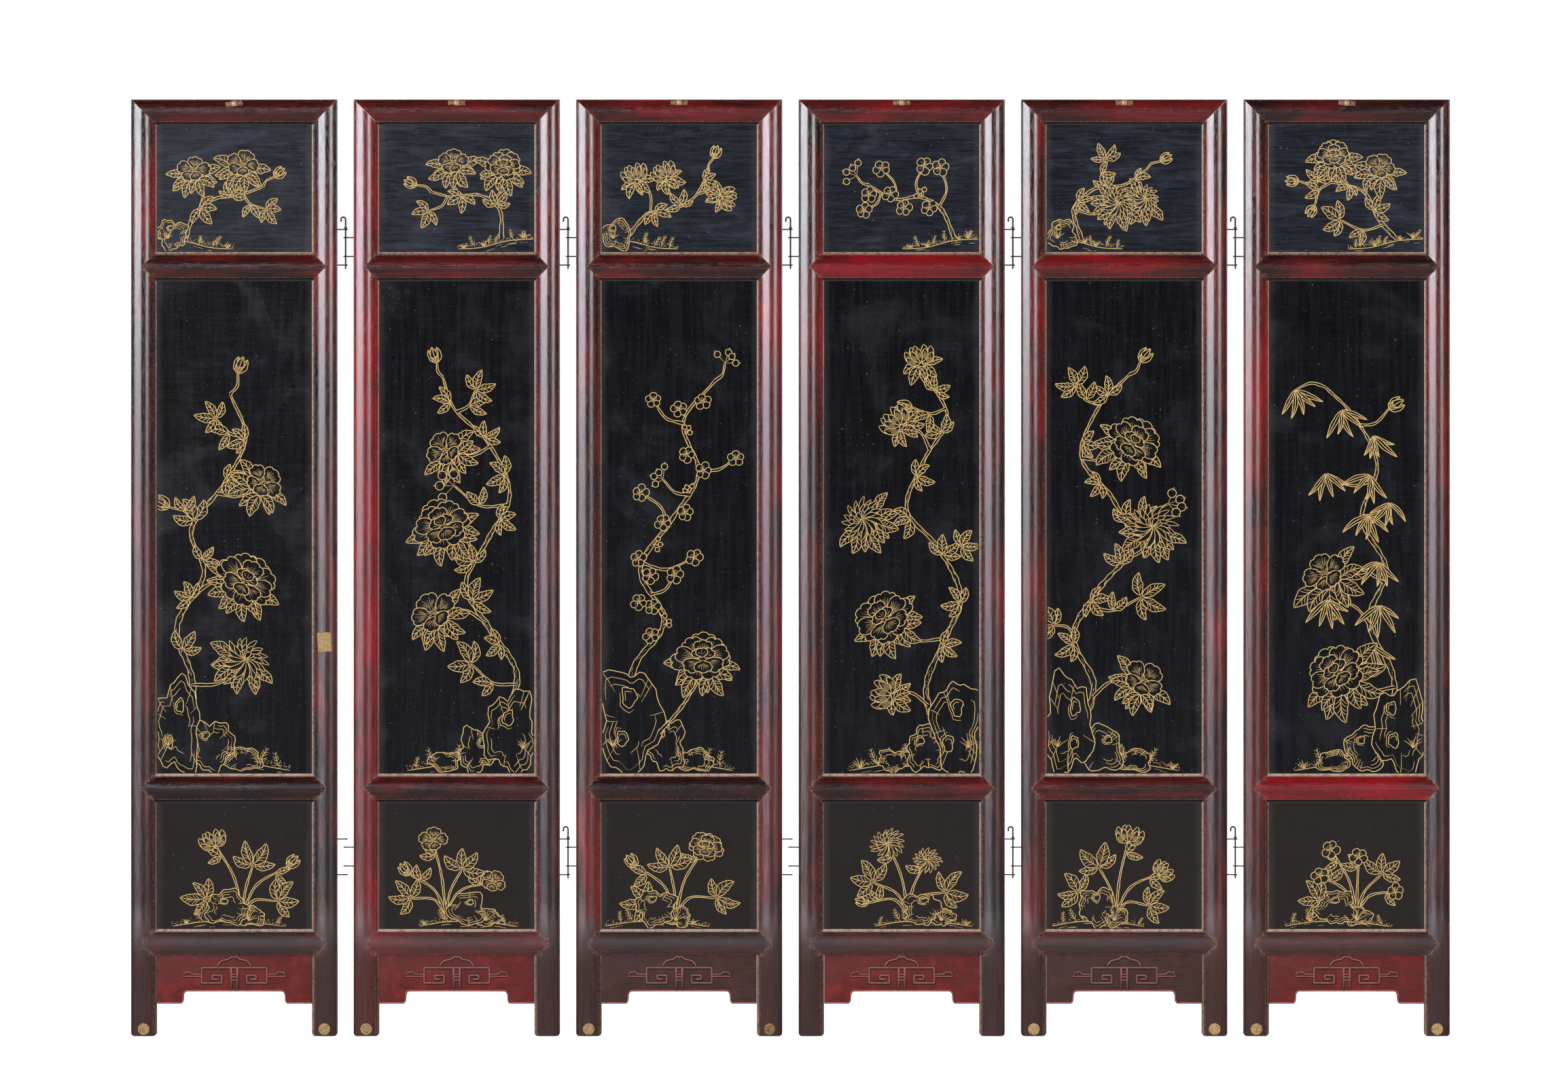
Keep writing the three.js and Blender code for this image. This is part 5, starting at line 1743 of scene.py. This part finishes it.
def carving_mesh(finish):
    """The ribs of the fret and the bead along the lower edge, proud of the apron's face, and wider, very
    low ribbons under the fret's ribs that carry painted shade.
    """
    lines = [([(x, 0, z) for x, z in points], half) for points, half in fret_lines()]
    edge = apron_edge()
    inward = normals(edge) * APRON_BEAD / 2
    lines.append(([(x, 0, z) for x, z in edge + inward], APRON_BEAD / 2))
    both = {"Corner": 1.6 * MM, "Sunk": 0.0004, "Material": finish}
    ribs = CARVED_RIB.apply(lines_object(lines), Height=1.3, **both)
    # low ribbons that stand out beside each rib of the fret, for painted shade
    edges = [(points, half + SHADE_LINE_WIDTH) for points, half in lines[:-1]]
    shade_lines = CARVED_RIB.apply(lines_object(edges), Height=0.1, **both)
    mesh = joined("carving", ribs, shade_lines)
    mesh.transform(Matrix.Translation((0, APRON_FACE_Y * MM, 0)))
    return mesh


def apron_piece(leaf, board, carving, finish):
    """The apron of one leaf with its carving, painted lighter on the carving's upper sides and darker, as
    painted shade, on its lower sides and at its feet.
    """
    work = bmesh.new()
    work.from_mesh(board)
    bmesh.ops.triangulate(work, faces=[face for face in work.faces if len(face.verts) > 4])
    work.from_mesh(carving)
    mesh = bpy.data.meshes.new("apron")
    work.to_mesh(mesh)
    work.free()
    co = vertices(mesh)
    depth = co[:, 1] - APRON_FACE_Y
    carved = np.arange(len(co)) >= len(board.vertices)
    crest = np.clip(-depth / RELIEF, 0, 1)
    tilt = np.empty(len(co) * 3)
    mesh.vertices.foreach_get("normal", tilt)
    # painted light on the carving's upper sides, painted shade on its lower sides
    up_light_down_shade = np.clip(tilt[2::3] * 1.5, -1, 1) * carved
    # rubbed crests of the ribs, and painted light on their upper sides
    wear_and_light = np.clip(crest * carved * 0.6 + np.maximum(up_light_down_shade, 0) * 0.7, 0, 1)
    # painted shade on the ribs' lower sides, at their feet and in the low ribbons beside them
    dirt_and_shade = np.clip(np.maximum(-up_light_down_shade, 0) * 0.8 + (depth > -0.4) * carved, 0, 1)
    mesh.transform(Matrix.Translation((leaf_x(leaf) * MM, 0, 0)))
    write_marks(mesh, {"wear_and_light": wear_and_light, "dirt_and_shade": dirt_and_shade})
    mesh.materials.clear()
    mesh.materials.append(finish)
    for polygon in mesh.polygons:
        polygon.material_index = 0
    crisp(mesh, 40)
    node = f"leaf_{leaf}_apron"
    return show(f"{node}_carved", mesh, f"leaf_{leaf}", "apron_lacquer", node)


# ----------------------------------------------------------------- hinges, cork and hangers

PIN_RADIUS = 1.6
EYE_RING = 3.35
EYE_WIRE = 1.3
EYE_SHANK = 17.0
HINGE_TOPS = {"upper": LEAF_HEIGHT - 255.0, "lower": 387.0}
EYE_DROPS = {1: (0, 70), -1: (16, 53)}  # below the top eye, on a right and on a left edge
PINS = [("upper", leaf) for leaf in LEAVES[:-1]] + [("lower", leaf) for leaf in (2, 4, 5)]


def eye_piece(leaf, finish):
    """All the wire eyes in the two edges of a leaf."""
    spots, turns = [], []
    for side in (1, -1):
        if (side > 0 and leaf == 6) or (side < 0 and leaf == 1):
            continue
        for top in HINGE_TOPS.values():
            for drop in EYE_DROPS[side]:
                spots.append((leaf_x(leaf) + side * (HALF + 16), HINGE_Y, top - drop))
                turns.append(math.pi if side > 0 else 0.0)
    sizes = {"Ring_radius": EYE_RING * MM, "Wire_radius": EYE_WIRE * MM, "Shank": EYE_SHANK * MM}
    mesh = WIRE_EYE.apply(points_object(spots, turns), Material=finish, **sizes)
    return show(f"leaf_{leaf}_wire_eyes", mesh, f"leaf_{leaf}", "iron")


def pin_piece(level, leaf, finish):
    """A drop pin: a hand-made iron rod with a collar, bent over at the top."""
    top = HINGE_TOPS[level]
    x = leaf_x(leaf) + PITCH / 2
    seat = top + EYE_WIRE + FIT
    neck = seat + 3 + 15
    path = [(0, top - 79 + 1), (0, top - 60), (0, top - 30), (0, seat), (0, neck)]
    path += [(4.5 * (math.cos(a) - 1), neck + 4.5 * math.sin(a)) for a in np.linspace(0.15, math.pi, 14)]
    path += [(-9, neck - 3), (-9, neck - 4.9)]
    radii = np.ones(len(path))
    radii[0] = 0.45
    radii[-1] = 0.7
    path.insert(1, (0, top - 76))
    radii = np.insert(radii, 1, 0.96)
    rod = lines_object([([(x + a, HINGE_Y, z) for a, z in path], radii)], unit=1)
    mesh = DRAWN_WIRE.apply(rod, Radius=PIN_RADIUS * MM, Sides=14, Material=finish)
    work = bmesh.new()
    work.from_mesh(mesh)
    collar = bmesh.ops.create_cone(
        work, cap_ends=True, segments=18, radius1=3 * MM, radius2=3 * MM, depth=3 * MM,
        matrix=Matrix.Translation((x * MM, HINGE_Y * MM, (seat + 1.5) * MM)),
    )
    edges = {edge for vertex in collar["verts"] for edge in vertex.link_edges}
    rim = [edge for edge in edges if abs(edge.verts[0].co.z - edge.verts[1].co.z) < 1e-9]
    bmesh.ops.bevel(work, geom=rim, offset=0.5 * MM, segments=2, affect="EDGES", profile=0.5)
    made = to_mesh(work, "pin")
    made.materials.append(finish)
    crisp(made, 40)
    node = f"{level}_pin_{leaf}_{leaf + 1}"
    return show(f"{node}_iron", made, node, "iron", node)


CORK_FACE_Y = CREST_Y - 3
CORK_Z = 14.0
CORK_IN = 25.0  # outer edge of a stile to the middle of its cork


def cork_disc(work, x, seed):
    """A disc pressed from cork, with a soft rim and a few chips out of it."""
    dice = random.Random(seed)
    rings = ((9.6, 0.0), (10.9, 0.25), (11.45, 0.8), (11.5, 3.0), (11.5, 7.5))
    rows = []
    count = 40
    bites = [dice.uniform(0, 2 * math.pi) for _ in range(3)]
    for radius, depth in rings:
        row = []
        for i in range(count):
            a = 2 * math.pi * i / count
            offs = [(a - bite + math.pi) % (2 * math.pi) - math.pi for bite in bites]
            chip = sum(0.5 * math.exp(-((off / 0.12) ** 2)) for off in offs)
            r = radius - chip * (0.4 if depth else 0.2)
            spot = (x + r * math.cos(a), CORK_FACE_Y + depth, CORK_Z + r * math.sin(a))
            row.append(work.verts.new([value * MM for value in spot]))
        rows.append(row)
    centre = work.verts.new((x * MM, CORK_FACE_Y * MM, CORK_Z * MM))
    for i in range(count):
        j = (i + 1) % count
        work.faces.new((centre, rows[0][i], rows[0][j]))
        for near, far in zip(rows, rows[1:]):
            work.faces.new((near[i], far[i], far[j], near[j]))
    work.faces.new(rows[-1])


# The cork discs of each leaf and how stained each is, and the pad on the first leaf
CORKS = {
    1: {-1: 0.25, 1: 0.2},
    2: {-1: 0.3},
    3: {-1: 0.25, 1: 0.75},
    5: {-1: 0.05, 1: 0.0},
    6: {-1: 0.1, 1: 0.05},
}


def cork_piece(leaf, finish):
    """The cork discs on the legs of a leaf. The first leaf has the pad too."""
    work = bmesh.new()
    spots = CORKS[leaf]
    for side in spots:
        cork_disc(work, leaf_x(leaf) + side * (HALF - CORK_IN), leaf * 7 + side)
    if leaf == 1:
        centre = Vector(((leaf_x(1) + HALF - CORK_IN) * MM, 0, 774 * MM))
        tilt = math.radians(3)
        across = Vector((math.cos(tilt), 0, math.sin(tilt)))
        up = Vector((-math.sin(tilt), 0, math.cos(tilt)))
        made = bmesh.ops.create_cube(work, size=1.0)
        for vertex in made["verts"]:
            a, b, c = vertex.co
            spot = centre + across * a * 27 * MM + up * c * 38 * MM
            vertex.co = (spot.x, (CREST_Y - 2.5 if b < 0 else CREST_Y + 3) * MM, spot.z)
        edges = {edge for vertex in made["verts"] for edge in vertex.link_edges}
        bmesh.ops.bevel(work, geom=list(edges), offset=0.8 * MM, segments=3, affect="EDGES", profile=0.6)
    mesh = to_mesh(work, "cork")
    co = vertices(mesh)
    # on the cork this mark is stain only
    dirt_and_shade = np.zeros(len(co))
    for side, stain in spots.items():
        near = (np.sign(co[:, 0] - leaf_x(leaf)) == side) & (co[:, 2] < 40)
        dirt_and_shade[near] = stain
    dirt_and_shade[co[:, 2] > 100] = 0.12
    write_marks(mesh, {"dirt_and_shade": dirt_and_shade})
    mesh.materials.append(finish)
    crisp(mesh, 40)
    return show(f"leaf_{leaf}_cork", mesh, f"leaf_{leaf}", "cork")


HANGER_TILTS = {1: -7.0, 2: 1.0, 3: 0.0, 4: -0.6, 5: 0.8, 6: 3.0}


def hanger_piece(leaf, finish):
    """The brass saddle plate on the top rail: a flat strap with a raised loop and two screws."""
    tilt = math.radians(HANGER_TILTS[leaf])
    middle_z = LEAF_HEIGHT - 6.0 - 17 * abs(math.sin(tilt))
    half = [(-17, 0), (-16.6, -1.1), (-7.4, -1.2), (-6.3, -1.7), (-5.4, -3.0), (-4.2, -3.5)]
    profile = half + [(-a, depth) for a, depth in reversed(half)]
    work = bmesh.new()
    rows = []
    for a, depth in profile:
        reach = 5.0 if abs(a) > 6 else 5.6
        if abs(a) > 16.8:
            reach = 3.6
        rows.append((a, depth, (-reach, -reach + 0.5, reach - 0.5, reach)))
    front, rear = [], []
    for a, depth, row in rows:
        eased = (depth + 0.35, depth, depth, depth + 0.35)
        front.append([work.verts.new((a, y, b)) for y, b in zip(eased, row)])
    for a, depth, row in rows:
        inner = max(depth + 1.0, 0.0) if abs(a) > 6.4 else depth + 1.0
        rear.append([work.verts.new((a, inner, b)) for b in row])
    for i in range(len(rows) - 1):
        for k in range(3):
            work.faces.new((front[i][k], front[i + 1][k], front[i + 1][k + 1], front[i][k + 1]))
            work.faces.new((rear[i][k], rear[i][k + 1], rear[i + 1][k + 1], rear[i + 1][k]))
        for k in (0, 3):
            work.faces.new((front[i][k], rear[i][k], rear[i + 1][k], front[i + 1][k]))
    for i in (0, len(rows) - 1):
        for k in range(3):
            work.faces.new((front[i][k], front[i][k + 1], rear[i][k + 1], rear[i][k]))
    bmesh.ops.remove_doubles(work, verts=work.verts, dist=1e-6)
    face_y = CREST_Y + 1.3
    centre = [value * MM for value in (leaf_x(leaf), face_y, middle_z)]
    place = Matrix.Translation(centre) @ Matrix.Rotation(tilt, 4, "Y") @ Matrix.Scale(MM, 4)
    work.transform(place)
    plate = to_mesh(work, "plate")
    turns = (0.5 + leaf, 2.1 * leaf)
    spots = [place @ Vector((a, -1.1, 0)) / MM for a in (-12, 12)]
    holder = points_object(spots, turns)
    heads = ROUND_HEAD_SCREW.apply(holder, Head_radius=2.9 * MM, Dome=1.3 * MM, Material=finish)
    mesh = joined("hanger", plate, heads)
    depth = vertices(mesh)[:, 1] - face_y
    # the raised loop and screw heads paler
    write_marks(mesh, {"wear_and_light": np.clip((-depth - 1.4) / 2.0, 0, 1)})
    mesh.materials.append(finish)
    crisp(mesh, 40)
    return show(f"leaf_{leaf}_hanger", mesh, f"leaf_{leaf}", "brass")


# ------------------------------------------------------------------------------ assembly

bpy.context.scene.view_settings.view_transform = "Standard"
add_camera()
add_lights()
add_surroundings()
add_floor()

STILE_LACQUER = frame_lacquer("stile_lacquer", "Z")
RAIL_LACQUER = frame_lacquer("rail_lacquer", "X")
BOARD_BLACK = board_lacquer()
APRON_RED = apron_lacquer("apron_red", (80, 18, 17), (118, 28, 24), (146, 38, 30))
APRON_BROWN = apron_lacquer("apron_brown", (52, 28, 22), (78, 44, 36), (92, 50, 42))
GILT = gilt_paint()
IRON = old_iron()
BRASS = old_brass()
CORK = cork()

MOULDED_LENGTH = moulded_length_tree()
DRAWN_LINE = drawn_line_tree()
CARVED_RIB = carved_rib_tree()
DRAWN_WIRE = drawn_wire_tree()
WIRE_EYE = wire_eye_tree()
ROUND_HEAD_SCREW = screw_tree()

MEMBERS = {
    "left_stile": (stile_mesh(-1), STILE_LACQUER),
    "right_stile": (stile_mesh(1), STILE_LACQUER),
    "top_rail": (top_rail_mesh(), RAIL_LACQUER),
    "upper_rail": (let_in_rail_mesh(UPPER_RAIL_Z, False), RAIL_LACQUER),
    "lower_rail": (let_in_rail_mesh(LOWER_RAIL_Z, False), RAIL_LACQUER),
    "bottom_rail": (let_in_rail_mesh(BOTTOM_RAIL_Z, True), RAIL_LACQUER),
}
APRON_BOARD = apron_board()
CARVING = carving_mesh(APRON_RED)

for leaf in LEAVES:
    for member, (pattern, finish) in MEMBERS.items():
        frame_member(leaf, member, pattern, finish)
    frame["nodes"][f"leaf_{leaf}_board"].material_slots[0].material = BOARD_BLACK
    apron_piece(leaf, APRON_BOARD, CARVING, APRON_RED if leaf in RED_APRONS else APRON_BROWN)
    eye_piece(leaf, IRON)
    hanger_piece(leaf, BRASS)
    gilt_drawing(leaf)
    if leaf in CORKS:
        cork_piece(leaf, CORK)

for level, leaf in PINS:
    pin_piece(level, leaf, IRON)
